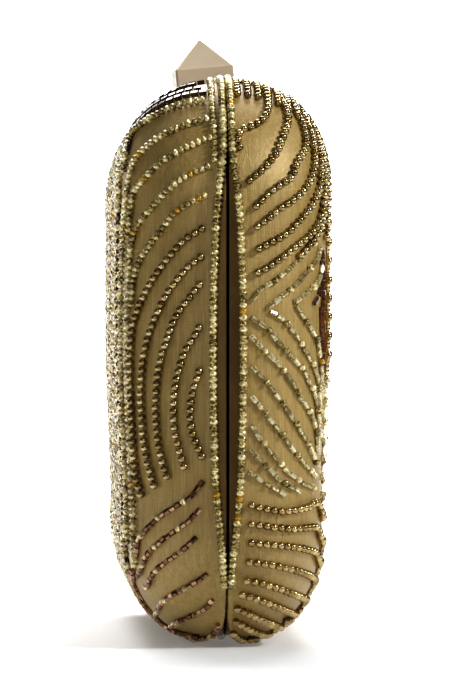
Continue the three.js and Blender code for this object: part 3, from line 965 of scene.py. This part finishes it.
def copies(name: str, points: Points, faces: list, places: list) -> bpy.types.Object:
    """Copies of one shape at many places, as one piece with a tone for each copy.

    Args:
        name: the piece's name.
        points: the shape's points.
        faces: the shape's faces.
        places: the middle, the axes and the tone of each copy.

    Returns:
        The new object.
    """
    middles = np.array([p[0] for p in places])
    axes = np.array([p[1] for p in places])
    tones = np.array([p[2] for p in places])
    placed = np.einsum("pi,cij->cpj", points, axes) + middles[:, None, :]
    corner_lists = [np.array(f) for f in faces]
    sizes = np.array([len(f) for f in corner_lists])
    flat = np.concatenate(corner_lists)
    loops = (flat[None, :] + (np.arange(len(places)) * len(points))[:, None]).ravel()
    starts = np.concatenate([[0], np.cumsum(np.tile(sizes, len(places)))[:-1]])
    mesh = bpy.data.meshes.new(name)
    mesh.vertices.add(placed.shape[0] * placed.shape[1])
    mesh.vertices.foreach_set("co", (placed * MM).astype(np.float32).ravel())
    mesh.loops.add(len(loops))
    mesh.loops.foreach_set("vertex_index", loops.astype(np.int32))
    mesh.polygons.add(len(starts))
    mesh.polygons.foreach_set("loop_start", starts.astype(np.int32))
    mesh.update(calc_edges=True)
    tone = mesh.attributes.new("tone", "FLOAT", "POINT")
    tone.data.foreach_set("value", np.repeat(tones, len(points)).astype(np.float32))
    piece = bpy.data.objects.new(name, mesh)
    bpy.context.scene.collection.objects.link(piece)
    shade_smooth(piece, 42.0)
    return piece


def tube(line: Points, radius: float, sides: int) -> tuple[Points, list]:
    """A closed tube along a line.

    Args:
        line: the points that it follows.
        radius: its radius.
        sides: how many sides it has.

    Returns:
        Its points and faces.
    """
    way = np.gradient(line, axis=0)
    way /= np.linalg.norm(way, axis=1, keepdims=True) + 1e-12
    side = np.cross(way, [0.31, 0.2, 0.93])
    side /= np.linalg.norm(side, axis=1, keepdims=True) + 1e-12
    up = np.cross(way, side)
    angles = np.arange(sides) * 2 * math.pi / sides
    rings = [side * math.cos(a) * radius + up * math.sin(a) * radius + line for a in angles]
    points = np.stack(rings, 1).reshape(-1, 3)
    faces = []
    for k in range(len(line) - 1):
        for i in range(sides):
            j = (i + 1) % sides
            faces.append([k * sides + i, k * sides + j, (k + 1) * sides + j, (k + 1) * sides + i])
    faces.append(list(range(sides))[::-1])
    faces.append([(len(line) - 1) * sides + i for i in range(sides)])
    return points, faces


# ---------------------------------------------------------------------------------------------
# The pattern of the beading
# ---------------------------------------------------------------------------------------------


@dataclass(frozen=True)
class Fan:
    """A family of nested rows on a narrow end, between guide rows.

    Each guide has its rank among the rows, and its points are distances from the seam plane and heights.
    """

    bead: Bead
    rows: int
    guides: tuple
    mixed: Bead | None = None
    mix_every: int = 0

    def lines(self) -> list[Points]:
        """The rows in between the guides.

        Returns:
            A flat curve for each row.
        """
        ranks = [rank for rank, _ in self.guides]
        curves = np.array([smooth_curve(points) for _, points in self.guides])
        if len(curves) == 1:
            return [curves[0]]
        made = []
        for row in range(self.rows):
            k = min(max(int(np.searchsorted(ranks, row, side="right")) - 1, 0), len(ranks) - 2)
            share = (row - ranks[k]) / (ranks[k + 1] - ranks[k])
            made.append(curves[k] + (curves[k + 1] - curves[k]) * share)
        return made


FRONT_END = (
    Fan(Bead.GOLD_ROUND, 5, (
        (0, ((5, 94.9), (9.4, 92), (13.2, 87.6), (17.1, 81.5), (20.3, 73.2), (21.9, 63), (21.9, 52),
             (21.2, 42.1), (19.4, 33.9))),
        (2, ((5.7, 82.6), (9.2, 78), (11.3, 74.8), (13, 70.3), (14.6, 65.1), (15.7, 57.9), (15.9, 52),
             (15.2, 44.4), (13.6, 38))),
        (4, ((6.1, 63.4), (7, 60.5), (8.1, 56.5), (8.4, 53), (8.3, 50.6), (7.7, 47.4), (7.3, 46.7),
             (6.5, 44.6), (5.7, 42.6))))),
    Fan(Bead.BRONZE_CUT, 6, (
        (0, ((5.8, 38), (8.8, 34.2), (12.6, 31.9), (16.8, 28.8), (19.8, 25.4), (22.3, 18.6))),
        (2, ((7.3, 25.4), (11.1, 22), (14.5, 19.5), (17.2, 16.7), (18.5, 13.7))),
        (3, ((4.8, 17.2), (8, 14.9), (11.4, 13), (14.5, 10.8), (16.2, 7.3))),
        (5, ((1.8, 5.7), (2.6, 3.4), (5, 2.0), (9.2, 2.1)))),
        mixed=Bead.CHAMPAGNE_SEED, mix_every=5),
    Fan(Bead.BRONZE_CUT, 3, (
        (0, ((23.4, 17.5), (20.6, 10.4), (16.4, 6.2), (10.5, 3.2), (6, 2.4))),
        (2, ((28, 16), (24.4, 8), (19.4, 4), (16, 2.4))))),
    Fan(Bead.CHAMPAGNE_SEED, 1, ((0, ((3.1, 128.4), (3.2, 122), (2.9, 116), (2.9, 109))),)),
    Fan(Bead.CHAMPAGNE_SEED, 5, (
        (0, ((4.5, 123.3), (9.6, 122.4), (13.6, 120.9), (17.3, 119.1), (20.5, 116.5), (23, 113),
             (26, 107.5))),
        (1, ((3.8, 119), (8.5, 117.8), (12.4, 116.1), (16, 114.1), (19.2, 111.2), (21.8, 107),
             (24.5, 101), (27.5, 92), (29.5, 80), (30.5, 65), (30, 42), (27.5, 23))),
        (2, ((3.2, 114.9), (7.4, 113.2), (11.1, 111.4), (14.7, 109.2), (17.6, 106.3), (20.2, 103),
             (21.8, 98.5), (22.9, 92.5))),
        (3, ((3.8, 108.6), (7.4, 107), (11.1, 105), (14.7, 101.5), (17.4, 98.3), (19.8, 95), (21.6, 90),
             (22.8, 82), (23.6, 72), (23.9, 56), (23.4, 38), (21.8, 18))),
        (4, ((4.5, 102.3), (7.4, 100.8), (11.1, 98.6), (14.7, 93.9), (17.3, 90.3), (19.3, 87), (20.6, 82),
             (21.3, 77))))),
    Fan(Bead.CHAMPAGNE_SEED, 1, ((0, ((38, 111), (46, 100), (51, 80), (52, 60), (51, 38), (46, 20))),)),
    Fan(Bead.GARNET_SQUARE, 4, (
        (0, ((4.4, 128.9), (8.5, 128.5), (12.3, 127.4), (16.4, 125.2), (19.5, 122.2), (22.4, 118.4),
             (25, 114))),
        (1, ((6.4, 127.2), (10.2, 126.2), (14, 124.4), (17.4, 122), (20, 119), (22.4, 115.8), (24.4, 112))),
        (3, ((4.2, 125.2), (8.4, 124.6), (12.4, 123.4), (15.8, 121.6), (18.6, 119.2), (20.9, 116.2),
             (23, 112.4))))),
)

BACK_END = (
    Fan(Bead.GOLD_ROUND, 8, (
        (0, ((2.9, 111.8), (2.3, 113.6), (3.4, 116.5), (5.7, 117.4), (8, 118.8), (9.2, 121), (9.4, 123.3),
             (9, 126))),
        (1, ((4.1, 104.6), (5.7, 105.9), (8.5, 108.5), (10.8, 111.4), (12.1, 114.6), (13.3, 117.4),
             (13.7, 120.1), (12.6, 123.3), (11.2, 126.2))),
        (2, ((5.5, 98.9), (7.1, 100.5), (10.8, 103.9), (14, 106), (15.3, 109.4), (16.9, 111.4),
             (17.6, 114.2), (17.2, 117.4), (16.2, 120.1), (14.9, 123.3), (13.4, 125.8))),
        (3, ((5.7, 94.5), (7.6, 95.9), (11.7, 99.3), (15.1, 101.6), (17.9, 104.6), (19.2, 107.8),
             (19.5, 112.4), (19, 116), (17.9, 119.2), (16.2, 122.4), (14.6, 124.9))),
        (4, ((5.9, 89.7), (9.4, 91.5), (12.8, 93.4), (15.3, 95.9), (17.6, 98.4), (19.9, 102.3),
             (21.2, 105.5), (21.7, 109.6), (21.2, 113.3), (20.1, 116.5), (18.6, 119.7), (16.8, 122.4))),
        (5, ((5.7, 84.4), (7.3, 85.1), (10.5, 87), (13.5, 89.5), (15.8, 91.3), (18.5, 93.6), (20.8, 96.8),
             (22.8, 100), (23.9, 104), (24.1, 109), (23, 114), (21.4, 118), (18.8, 121.5))),
        (7, ((25.5, 92), (27.5, 98), (28.6, 104), (28.3, 110), (26.6, 116), (23.6, 120.5),
             (20.4, 123.4))))),
    Fan(Bead.BUGLE, 3, (
        (0, ((5.4, 78.3), (7.1, 80.7), (10.5, 83), (13.9, 85.7), (17.2, 89.1), (19.9, 91.6))),
        (1, ((8.8, 76.8), (11.8, 79.1), (14.9, 81.7), (17.9, 85), (19.9, 87.4), (21.9, 90.4))),
        (2, ((14.9, 78.2), (17.2, 79.7), (19.6, 81.9), (21.6, 84), (22.8, 86.4)))),
        mixed=Bead.CHAMPAGNE_SEED, mix_every=4),
    Fan(Bead.BUGLE, 9, (
        (0, ((15.2, 77.4), (17.2, 74.3), (19.9, 70.2), (21.6, 66.2), (22.9, 62.8), (23.8, 58))),
        (1, ((9.2, 75.9), (11.2, 75), (14.5, 71.6), (17.2, 67.5), (19.2, 64.2), (20.9, 60.1),
             (22.3, 56.1), (23.2, 52))),
        (2, ((5.1, 74.6), (8.5, 72.3), (11.5, 68.9), (14.5, 65.5), (17.2, 62.5), (19.2, 58.8),
             (20.9, 54.8), (22.3, 50.7), (22.9, 47))),
        (3, ((4.8, 70.6), (7.8, 67.5), (10.5, 64.9), (13.9, 60.8), (16.5, 56.8), (19.2, 52.7), (21.3, 48),
             (22.4, 44))),
        (4, ((5.2, 63.6), (8.1, 60.8), (11.2, 56.8), (13.9, 53.4), (16.5, 49.4), (19.2, 45.3), (21.4, 41))),
        (6, ((5.2, 50.4), (7.8, 46.9), (10.5, 43.6), (13.5, 40.4), (17.4, 37.4), (20.5, 36))),
        (8, ((4.6, 40), (7.5, 38.2), (10.5, 36.2), (13.5, 34.8)))),
        mixed=Bead.CHAMPAGNE_SEED, mix_every=3),
    Fan(Bead.GARNET_BUGLE, 3, (
        (0, ((22.6, 90), (23.4, 84), (23.8, 77), (23.9, 70), (24, 62))),
        (1, ((22.2, 77), (22.8, 72.4), (23.2, 68))),
        (2, ((19.4, 77.8), (22.4, 81.4))))),
    Fan(Bead.BRIGHT_ROUND, 9, (
        (0, ((4.5, 32.6), (12.8, 31.1), (16.9, 31.4), (22.6, 32.8), (25, 31.5), (27, 29.6), (33, 29))),
        (2, ((4.5, 24.2), (12.8, 23.4), (18.8, 22.3), (22.4, 20.8), (25, 18.8), (32, 19))),
        (4, ((3.6, 15.9), (9.2, 14.8), (14.2, 13), (19, 10.8), (22, 9), (26, 9))),
        (6, ((1.7, 9.8), (6.2, 7.8), (10.8, 5.6), (14.5, 4.2), (18, 4.2))),
        (8, ((1.7, 3.9), (2.7, 2.8), (4.3, 1.8), (6, 1.6))))),
)


class BeadPattern:
    """Works out where every strand of beads on a half goes."""

    FACE_EDGE = {FRONT: 72.0, BACK: 79.0}  # how far along the bag the broad face's own pattern reaches
    BAND = 26.3  # width of a column of arcs
    ROW = 4.3  # distance from arc to arc
    GROUP = 8  # arcs of one kind, before the next kind and a wider gap
    FACE_BEADS = {
        FRONT: (Bead.CHAMPAGNE_SEED,),
        BACK: (Bead.GOLD_ROUND, Bead.BUGLE, Bead.BRIGHT_ROUND, Bead.CHAMPAGNE_SEED, Bead.BRONZE_CUT),
    }
    TWO_TONE = {Bead.BUGLE: (Bead.CHAMPAGNE_SEED, 3), Bead.CHAMPAGNE_SEED: (Bead.BRONZE_CUT, 2)}
    TOP_ROWS = {
        FRONT: (Bead.GARNET_SQUARE, (11.0, 12.8, 14.6, 16.4), 6.0),
        BACK: (Bead.GOLD_ROUND, (2.6, 4.9, 7.2, 9.5, 11.7, 13.9, 16.1, 18.3), 15.0),
    }

    def __init__(self, form: BagForm) -> None:
        """Plan the pattern for a form."""
        self.form = form

    def end_strands(self, fans: tuple, end: float) -> list[Strand]:
        """The strands on one narrow end.

        Args:
            fans: the fans there.
            end: 1 for the end at +X and -1 for the other.

        Returns:
            The strands.
        """
        made = []
        for fan in fans:
            for line in fan.lines():
                path = self.form.end_point(*line.T, self.form.silk, end)
                made.append(Strand(fan.bead, path, fan.mixed, fan.mix_every))
        return made

    def face_strands(self, side: str) -> list[Strand]:
        """The strands on the broad face: bands of slanting arcs that turn back in each band.

        Args:
            side: "front" or "back".

        Returns:
            The strands.
        """
        made = []
        beads = self.FACE_BEADS[side]
        edge = self.FACE_EDGE[side]
        bands = int(2 * edge // self.BAND)
        first = -bands * self.BAND / 2
        for band in range(bands):
            left = first + band * self.BAND
            way = 1 if band % 2 else -1
            margin = 14.0
            low = -margin
            row = 0
            while low < self.form.height + margin:
                kind = beads[(row // self.GROUP + 2 * band) % len(beads)]
                made += self._arc(kind, left, low, way, band, edge)
                row += 1
                low += self.ROW if row % self.GROUP else self.ROW * 1.5
        return made

    def _arc(self, kind: Bead, left: float, low: float, way: float, band: int, edge: float) -> list[Strand]:
        """One arc across a band, cut off where it leaves the face.

        Args:
            kind: the beads.
            left: where the band starts along the bag.
            low: the arc's height.
            way: 1 for an arc that rises along the bag and -1 for one that falls.
            band: the band's number.
            edge: how far along the bag the arcs reach.

        Returns:
            The strands of the arc that lie on the face.
        """
        t = np.linspace(0.04, 0.96, 24)
        x = left + t * self.BAND + 3.0 * np.sin((low / self.form.height + band * 0.5) * math.pi)
        z = low + way * 13.0 * (t - 0.5) + 6.0 * np.sin(math.pi * t)
        keep = (z > 1.0) & (z < self.form.height - 4.0) & (np.abs(x) < edge)
        runs = np.split(np.arange(len(t)), np.flatnonzero(np.diff(keep.astype(int))) + 1)
        made = []
        mixed, every = self.TWO_TONE.get(kind, (None, 0))
        for run in runs:
            if keep[run[0]] and len(run) > 5:
                points = self.form.face_point(x[run], z[run], self.form.silk)
                made.append(Strand(kind, points, mixed, every))
        return made

    def top_strands(self, side: str) -> list[Strand]:
        """Rows of beads over the bag's top edge, from end to end.

        Args:
            side: "front" or "back".

        Returns:
            The strands.
        """
        kind, rows, reach = self.TOP_ROWS[side]
        x = np.linspace(-self.form.half - reach, self.form.half + reach, 80)
        stations = self._top_stations(x)
        paths = [self.form.ring_point(stations, np.full(len(x), y), self.form.silk) for y in rows]
        return [Strand(kind, path) for path in paths]

    def _top_stations(self, x: Points) -> Points:
        """Stations over the top of the bag at places along it."""
        over = np.clip((np.abs(x) - self.form.half) / self.form.corner, 0, 1)
        out_x = np.sign(x) * over
        centre = np.clip(x, -self.form.half, self.form.half)
        return np.stack([centre, np.full(len(x), self.form.high), out_x, np.sqrt(1 - out_x**2)], 1)


# ---------------------------------------------------------------------------------------------
# Sub-assemblies
# ---------------------------------------------------------------------------------------------


@dataclass
class SilkCover:
    """The silk over one half, stretched on the shell and turned in at the frame."""

    form: BagForm
    side: str
    stations: int = 300
    roll_rings: int = 44
    face_rings: int = 26
    wall: float = 0.5
    edge_round: float = 0.25  # how softly the silk turns in at its edge
    window: tuple[float, float] | None = None

    def build(self) -> bpy.types.Object:
        """Model the silk.

        Returns:
            The silk as a thin closed piece.
        """
        form = self.form
        around = form.stations(self.stations)
        edge = form.silk_edge(around)
        reach = form.depth_at(around[:, 1] + around[:, 3] * form.corner) - form.silk
        tuck = (form.board - 0.1, form.silk + self.edge_round)
        rings = [form.ring_point(around, edge, layer) for layer in tuck]
        start = np.arcsin(((edge + self.edge_round) / reach) ** (form.power / 2))
        for k in range(self.roll_rings + 1):
            angle = start + (math.pi / 2 - start) * (k / self.roll_rings)
            rings.append(form.ring_point(around, reach * np.sin(angle) ** (2 / form.power), form.silk))
        border = rings[-1]
        middle = form.height / 2
        for k in range(1, self.face_rings):
            share = 1 - k / self.face_rings
            x = border[:, 0] * share
            z = middle + (border[:, 2] - middle) * share
            rings.append(self._flat_point(x, z))
        points = np.concatenate([*rings, self._flat_point(np.array([0.0]), np.array([middle]))])
        points[:, 1] *= SIDE_SIGN[self.side]
        faces = ring_faces(len(rings), self.stations)
        piece = mesh_piece(f"silk_cover_{self.side}", points, faces)
        turn_faces_out(piece)
        if self.window:
            self._open_window(piece)
        outward = sum(p.normal.y for p in piece.data.polygons) * SIDE_SIGN[self.side]
        wall = math.copysign(self.wall * MM, outward)
        apply_modifier(piece, "SOLIDIFY", thickness=wall, offset=-1)
        turn_faces_out(piece)
        return piece

    def _open_window(self, sheet: bpy.types.Object) -> None:
        """Cut the opening for the clasp's plate out of the top edge of the open sheet."""
        half, reach = (side * MM for side in self.window)
        level = (self.form.high + 5) * MM  # nothing lower is touched
        for across, side, limit in ((0, 1, half), (0, -1, half), (1, SIDE_SIGN[self.side], reach)):
            activate(sheet)
            for face in sheet.data.polygons:
                face.select = face.center.z > level and abs(face.center.x) < 2 * half
            plane = [0.0, 0.0, 0.0]
            plane[across] = side
            bpy.ops.object.mode_set(mode="EDIT")
            bpy.ops.mesh.bisect(plane_co=[limit * c for c in plane], plane_no=plane)
            bpy.ops.object.mode_set(mode="OBJECT")
        for face in sheet.data.polygons:
            face.select = (
                face.center.z > level and abs(face.center.x) < half and abs(face.center.y) < reach
            )
        bpy.ops.object.mode_set(mode="EDIT")
        bpy.ops.mesh.select_mode(type="FACE")
        bpy.ops.mesh.delete(type="FACE")
        bpy.ops.object.mode_set(mode="OBJECT")

    def _flat_point(self, x: Points, z: Points) -> Points:
        """Points on the crowned panel."""
        y = self.form.depth_at(z) - self.form.silk + self.form.crown_at(x, z)
        return np.stack([x, y, z], -1)


def ring_faces(rings: int, size: int) -> list:
    """Faces between rings of points, closed on a last single point.

    Args:
        rings: how many rings there are.
        size: how many points each ring has.

    Returns:
        The vertices of each face.
    """
    faces = []
    for k in range(rings - 1):
        for i in range(size):
            j = (i + 1) % size
            faces.append([k * size + i, k * size + j, (k + 1) * size + j, (k + 1) * size + i])
    last = (rings - 1) * size
    faces += [[last + i, last + (i + 1) % size, rings * size] for i in range(size)]
    return faces


@dataclass
class EdgeString:
    """The string of seed beads along the edge of one half's silk."""

    form: BagForm
    side: str
    tray: BeadTray
    set_out: float = 0.6  # from the silk's edge to the middle of the string
    radius: float = 0.75
    foot_lean: float = -30.0  # no string where the outline faces further down than this
    hub: float = 20.0  # height of the point that the string runs round
    plate_gap: float = 0.9  # room beside the clasp's plate
    wobble: float = 0.09

    def line(self) -> Points:
        """The line of the string, up one end of the bag, over the top and down the other.

        Returns:
            One row for each point.
        """
        around = self.form.stations(720)
        lean = np.degrees(np.arcsin(np.clip(around[:, 3], -1, 1)))
        strung = around[lean >= self.foot_lean]
        rim = strung[:, :2] + strung[:, 2:] * self.form.corner
        strung = strung[np.argsort(np.arctan2(rim[:, 1] - self.hub, rim[:, 0]))]
        line = self.form.ring_point(strung, self.form.silk_edge(strung) + self.set_out, self.radius)
        line[:, 1] *= SIDE_SIGN[self.side]
        return line

    def lengths(self) -> list[Points]:
        """The lengths of the string: on the front half, one on each side of the clasp's plate.

        Returns:
            The line of each length.
        """
        line = self.line()
        if self.side == BACK:
            return [line]
        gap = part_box("clasp_plate")[1][0] / MM + self.plate_gap
        top = line[:, 2] > self.form.high
        first = int(np.argmax(top & (line[:, 0] < gap)))
        last = int(np.argmax((top & (line[:, 0] > -gap))[::-1]))
        return [line[:first], line[len(line) - last :]]

    def _axes(self, way: Points, dice: np.random.Generator) -> Points:
        """The axes of one bead, a little off the line and a little larger or smaller."""
        way = way / np.linalg.norm(way) + dice.normal(0, self.wobble, 3)
        way /= np.linalg.norm(way)
        across = np.cross([0.1, 1.0, 0.2], way)
        across /= np.linalg.norm(across)
        return np.stack([way, across, np.cross(way, across)]) * dice.uniform(1.04, 1.16)

    def build(self) -> bpy.types.Object:
        """String the beads.

        Returns:
            The string as one piece.
        """
        dice = np.random.default_rng(3 if self.side == FRONT else 5)
        size = BEAD_SIZES[Bead.CHAMPAGNE_SEED]
        points, faces = self.tray.shapes[Bead.CHAMPAGNE_SEED]
        places = []
        for length in self.lengths():
            spots = even_steps(length, size.pitch, size.long / 2)
            for spot, way in zip(spots, np.gradient(spots, axis=0)):
                places.append((spot, self._axes(way, dice), dice.uniform()))
        return copies(f"edge_string_{self.side}", points, faces, places)


class EveningBag:
    """Puts the bag together and dresses it."""

    CUT = (226.0, 156.0)  # the blank of silk for one half
    CUT_SHARE = 0.92  # what is left of the blank once its corners are rounded off
    # Colour ramps for the glass beads: the glass's own colour in the middle stops, painted highlights in the
    # brightest and painted shade in the darkest, spread over each bead by fine noise.
    SEED_GLASS_AND_GLINTS = (
        (0.36, (0.12, 0.085, 0.018)), (0.46, (0.36, 0.275, 0.085)), (0.54, (0.62, 0.51, 0.21)),
        (0.63, (0.98, 0.88, 0.52)),
    )
    BUGLE_GLASS_AND_GLINTS = ((0.38, (0.26, 0.2, 0.08)), (0.5, (0.52, 0.44, 0.21)), (0.6, (0.85, 0.78, 0.5)))
    SQUARE_GLASS_AND_GLINTS = ((0.35, (0.03, 0.016, 0.009)), (0.65, (0.10, 0.055, 0.03)))
    GARNET_GLASS_AND_GLINTS = ((0.35, (0.04, 0.011, 0.005)), (0.65, (0.2, 0.07, 0.02)))

    def __init__(self) -> None:
        """Read the frame and make the finishes."""
        self.form = BagForm.from_frame()
        self.tray = BeadTray()
        finishes = {
            Bead.GOLD_ROUND: MetalBead("antique_gold_beads", (0.22, 0.155, 0.058), (0.52, 0.41, 0.21)),
            Bead.BRIGHT_ROUND: MetalBead("bright_gold_beads", (0.30, 0.21, 0.08), (0.60, 0.46, 0.22)),
            Bead.BRONZE_CUT: MetalBead("bronze_cut_beads", (0.16, 0.08, 0.04), (0.50, 0.32, 0.20)),
            Bead.CHAMPAGNE_SEED: GlassBead("champagne_glass", self.SEED_GLASS_AND_GLINTS, stray=(0.5, 0.28, 0.015)),
            Bead.BUGLE: GlassBead("clear_bugle_glass", self.BUGLE_GLASS_AND_GLINTS, rough=0.08),
            Bead.GARNET_SQUARE: GlassBead("garnet_squares", self.SQUARE_GLASS_AND_GLINTS),
            Bead.GARNET_BUGLE: GlassBead("garnet_bugles", self.GARNET_GLASS_AND_GLINTS, metal=0.3),
        }
        self.finish = {kind: finish.make() for kind, finish in finishes.items()}
        self.silk = DupionSilk().make()
        self.thread = Plain("bead_thread", (0.30, 0.20, 0.07)).make()
        self.made: list[bpy.types.Object] = []

    def keep(self, piece: bpy.types.Object, body: str, material: bpy.types.Material, slot: str,
             nodes: tuple = ()) -> bpy.types.Object:
        """Dress a piece and fix it to a body.

        Args:
            piece: the new piece.
            body: the body that it moves with.
            material: its finish.
            slot: the record's material slot; not used.
            nodes: the CAD nodes that it stands for.

        Returns:
            The piece.
        """
        piece.data.materials.clear()
        piece.data.materials.append(material)
        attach(piece, body)
        if nodes:
            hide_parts(*nodes)
        self.made.append(piece)
        log.info("%s: %d faces, on %s", piece.name, len(piece.data.polygons), body)
        return piece

    def build_half(self, side: str) -> None:
        """Cover one half, and sew its beads on.

        Args:
            side: "front" or "back".
        """
        window = self.plate_window() if side == FRONT else None
        silk = SilkCover(self.form, side, window=window).build()
        sewing = Embroidery(side, silk, self.tray)
        pattern = BeadPattern(self.form)
        fans = FRONT_END if side == FRONT else BACK_END
        strands = [strand for end in (1.0, -1.0) for strand in pattern.end_strands(fans, end)]
        strands += pattern.face_strands(side) + pattern.top_strands(side)
        for strand in strands:
            sewing.sew(strand)
        shade_smooth(silk, 60)
        self.keep(silk, side, self.silk, "beaded_silk", (f"beaded_cover_{side}",))
        for piece in sewing.pieces():
            kind = next(k for k in Bead if piece.name.startswith(k.value + "_beads"))
            self.keep(piece, side, self.finish[kind], "beaded_silk")
        self.keep(sewing.thread_piece(), side, self.thread, "beaded_silk")
        string = EdgeString(self.form, side, self.tray).build()
        nodes = ("bead_trim_back",) if side == BACK else ("bead_trim_front_left", "bead_trim_front_right")
        self.keep(string, side, self.finish[Bead.CHAMPAGNE_SEED], "seed_beads", nodes)

    @staticmethod
    def plate_window() -> tuple[float, float]:
        """The opening in the silk that the clasp's plate needs.

        Returns:
            Half its width, and its reach from the seam plane.
        """
        low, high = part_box("clasp_plate")
        gap = 0.3
        return high[0] / MM + gap, -low[1] / MM + gap

    def dress_metal(self) -> None:
        """Give the CAD nodes that show their own finishes."""
        finishes = {
            "frame": BrushedMetal("antiqued_bronze", (0.11, 0.068, 0.025), (0.19, 0.12, 0.048), 0.42).make(),
            "clasp_metal": BrushedMetal(
                "champagne_plate", (0.52, 0.42, 0.295), (0.58, 0.47, 0.335), 0.46, (5000, 200, 200), 0.4
            ).make(),
            "fittings": BrushedMetal("plain_brass", (0.55, 0.41, 0.19), (0.66, 0.5, 0.26), 0.3).make(),
            "spring_steel": BrushedMetal("spring_steel", (0.5, 0.5, 0.49), (0.6, 0.6, 0.6), 0.28).make(),
            "lining": LiningSatin().make(),
            "pocket_binding": LiningSatin("binding_ribbon", (0.24, 0.165, 0.07), (0.34, 0.25, 0.12)).make(),
            "shell": Plain("shell_board", (0.10, 0.085, 0.07)).make(),
        }
        slots = {part["node"]: part["material_slot"] for part in frame["record"]["subparts"]}
        for name, slot in slots.items():
            node = frame["nodes"][name]
            if slot in finishes:
                node.data.materials.clear()
                node.data.materials.append(finishes[slot])

    def build(self) -> None:
        """Build the whole bag."""
        self.dress_metal()
        for side in (BACK, FRONT):
            self.build_half(side)
        total = sum(len(p.data.polygons) for p in self.made)
        log.info("%d pieces, %d faces", len(self.made), total)


# ---------------------------------------------------------------------------------------------
# The stage
# ---------------------------------------------------------------------------------------------


@dataclass
class Studio:
    """A pale sweep, soft lights and a long lens on the bag's narrow end."""

    form: BagForm
    distance: float = 1329.0
    scale: float = 4.37  # size of a millimetre at the near shoulder, in a frame this many rows high
    rows: int = 675
    sensor: float = 36.0
    eye_height: float = 70.1
    yaw: float = 2.2
    turn: float = 3.1
    room_bands: tuple = ((0.0, 0.06), (0.5, 0.09), (0.8, 0.13), (1.0, 0.16))

    def floor(self) -> None:
        """A pale sweep: a floor that curves up into a wall behind the bag."""
        bend = np.linspace(0, math.pi / 2, 13)
        radius, back, near, wide = 0.4, -1.0, 0.32, 0.55
        x = np.concatenate([[near], back - radius * np.sin(bend), [back - radius]])
        z = np.concatenate([[0.0], radius * (1 - np.cos(bend)), [2.4]]) - 0.0002
        points = np.array([[a, side * wide, b] for side in (-1, 1) for a, b in zip(x, z)]) / MM
        size = len(x)
        faces = [[k, k + 1, size + k + 1, size + k] for k in range(size - 1)]
        sweep = mesh_piece("studio_sweep", points, faces)
        shade_smooth(sweep, 80)
        paper = Shader("studio_paper", roughness=0.95, emission_strength=0.12)
        tone = paper.noise(paper.stretched((2, 2, 2)), 1.0)
        colour = paper.mix(tone, (0.95, 0.95, 0.95), (0.97, 0.97, 0.97))
        sweep.data.materials.append(paper.feed(base_color=colour))

    def lights(self) -> None:
        """A key box to the right, a weak fill to the left, one box above, and one on the sweep."""
        world = bpy.data.worlds.new("dim_room")
        bpy.context.scene.world = world
        world.use_nodes = True
        room = world.node_tree
        way = room.nodes.new("ShaderNodeTexCoord")
        split = room.nodes.new("ShaderNodeSeparateXYZ")
        ramp = room.nodes.new("ShaderNodeValToRGB")
        room.links.new(way.outputs["Generated"], split.inputs[0])
        room.links.new(split.outputs["Z"], ramp.inputs[0])
        room.links.new(ramp.outputs[0], room.nodes["Background"].inputs["Color"])
        Shader.fill_ramp(ramp.color_ramp, [(at, (grey, grey, grey)) for at, grey in self.room_bands])
        room.nodes["Background"].inputs["Strength"].default_value = 1.0
        boxes = (  # name, place, aim, size, power and spread
            ("key_box", (0.5, 0.8, 0.66), (0.1, 0.0, 0.17), 0.2, 0.34, 30),
            ("fill_box", (1.2, -0.25, 0.42), (0.0, 0.0, 0.21), 0.24, 0.09, 30),
            ("top_box", (-0.65, 0.0, 0.85), (0.1, 0.0, 0.0), 0.7, 14.0, 180),
            ("sweep_box", (-1.0, 0.0, 1.9), (-1.3, 0.0, 0.3), 0.8, 24.0, 60),
        )
        for name, place, aim, size, power, spread in boxes:
            lamp = bpy.data.lights.new(name, "AREA")
            lamp.size = size
            lamp.energy = power
            lamp.spread = math.radians(spread)
            light = bpy.data.objects.new(name, lamp)
            light.location = place
            light.rotation_euler = (Vector(aim) - Vector(place)).to_track_quat("-Z", "Y").to_euler()
            bpy.context.scene.collection.objects.link(light)

    def camera(self) -> None:
        """A level camera that looks at the end with the seam in the middle."""
        data = bpy.data.cameras.new("end_camera")
        eye = bpy.data.objects.new("end_camera", data)
        bpy.context.scene.collection.objects.link(eye)
        data.sensor_width = self.sensor
        data.lens = self.scale * self.distance * self.sensor / self.rows
        data.clip_start = 0.05
        data.clip_end = 50
        reach = self.distance + self.form.half
        angle = math.radians(self.yaw)
        aim = Vector((0, self.turn, self.eye_height)) * MM
        eye.location = aim + Vector((math.cos(angle), -math.sin(angle), 0)) * reach * MM
        eye.rotation_euler = (aim - eye.location).to_track_quat("-Z", "Y").to_euler()
        bpy.context.scene.camera = eye
        view = bpy.context.scene.view_settings
        view.view_transform = "Standard"
        view.look = "Medium High Contrast"

    def build(self) -> None:
        """Set the stage."""
        self.floor()
        self.lights()
        self.camera()


def main() -> None:
    """Build the bag and the stage."""
    bag = EveningBag()
    bag.build()
    Studio(bag.form).build()


if __name__ == "__main__":
    main()
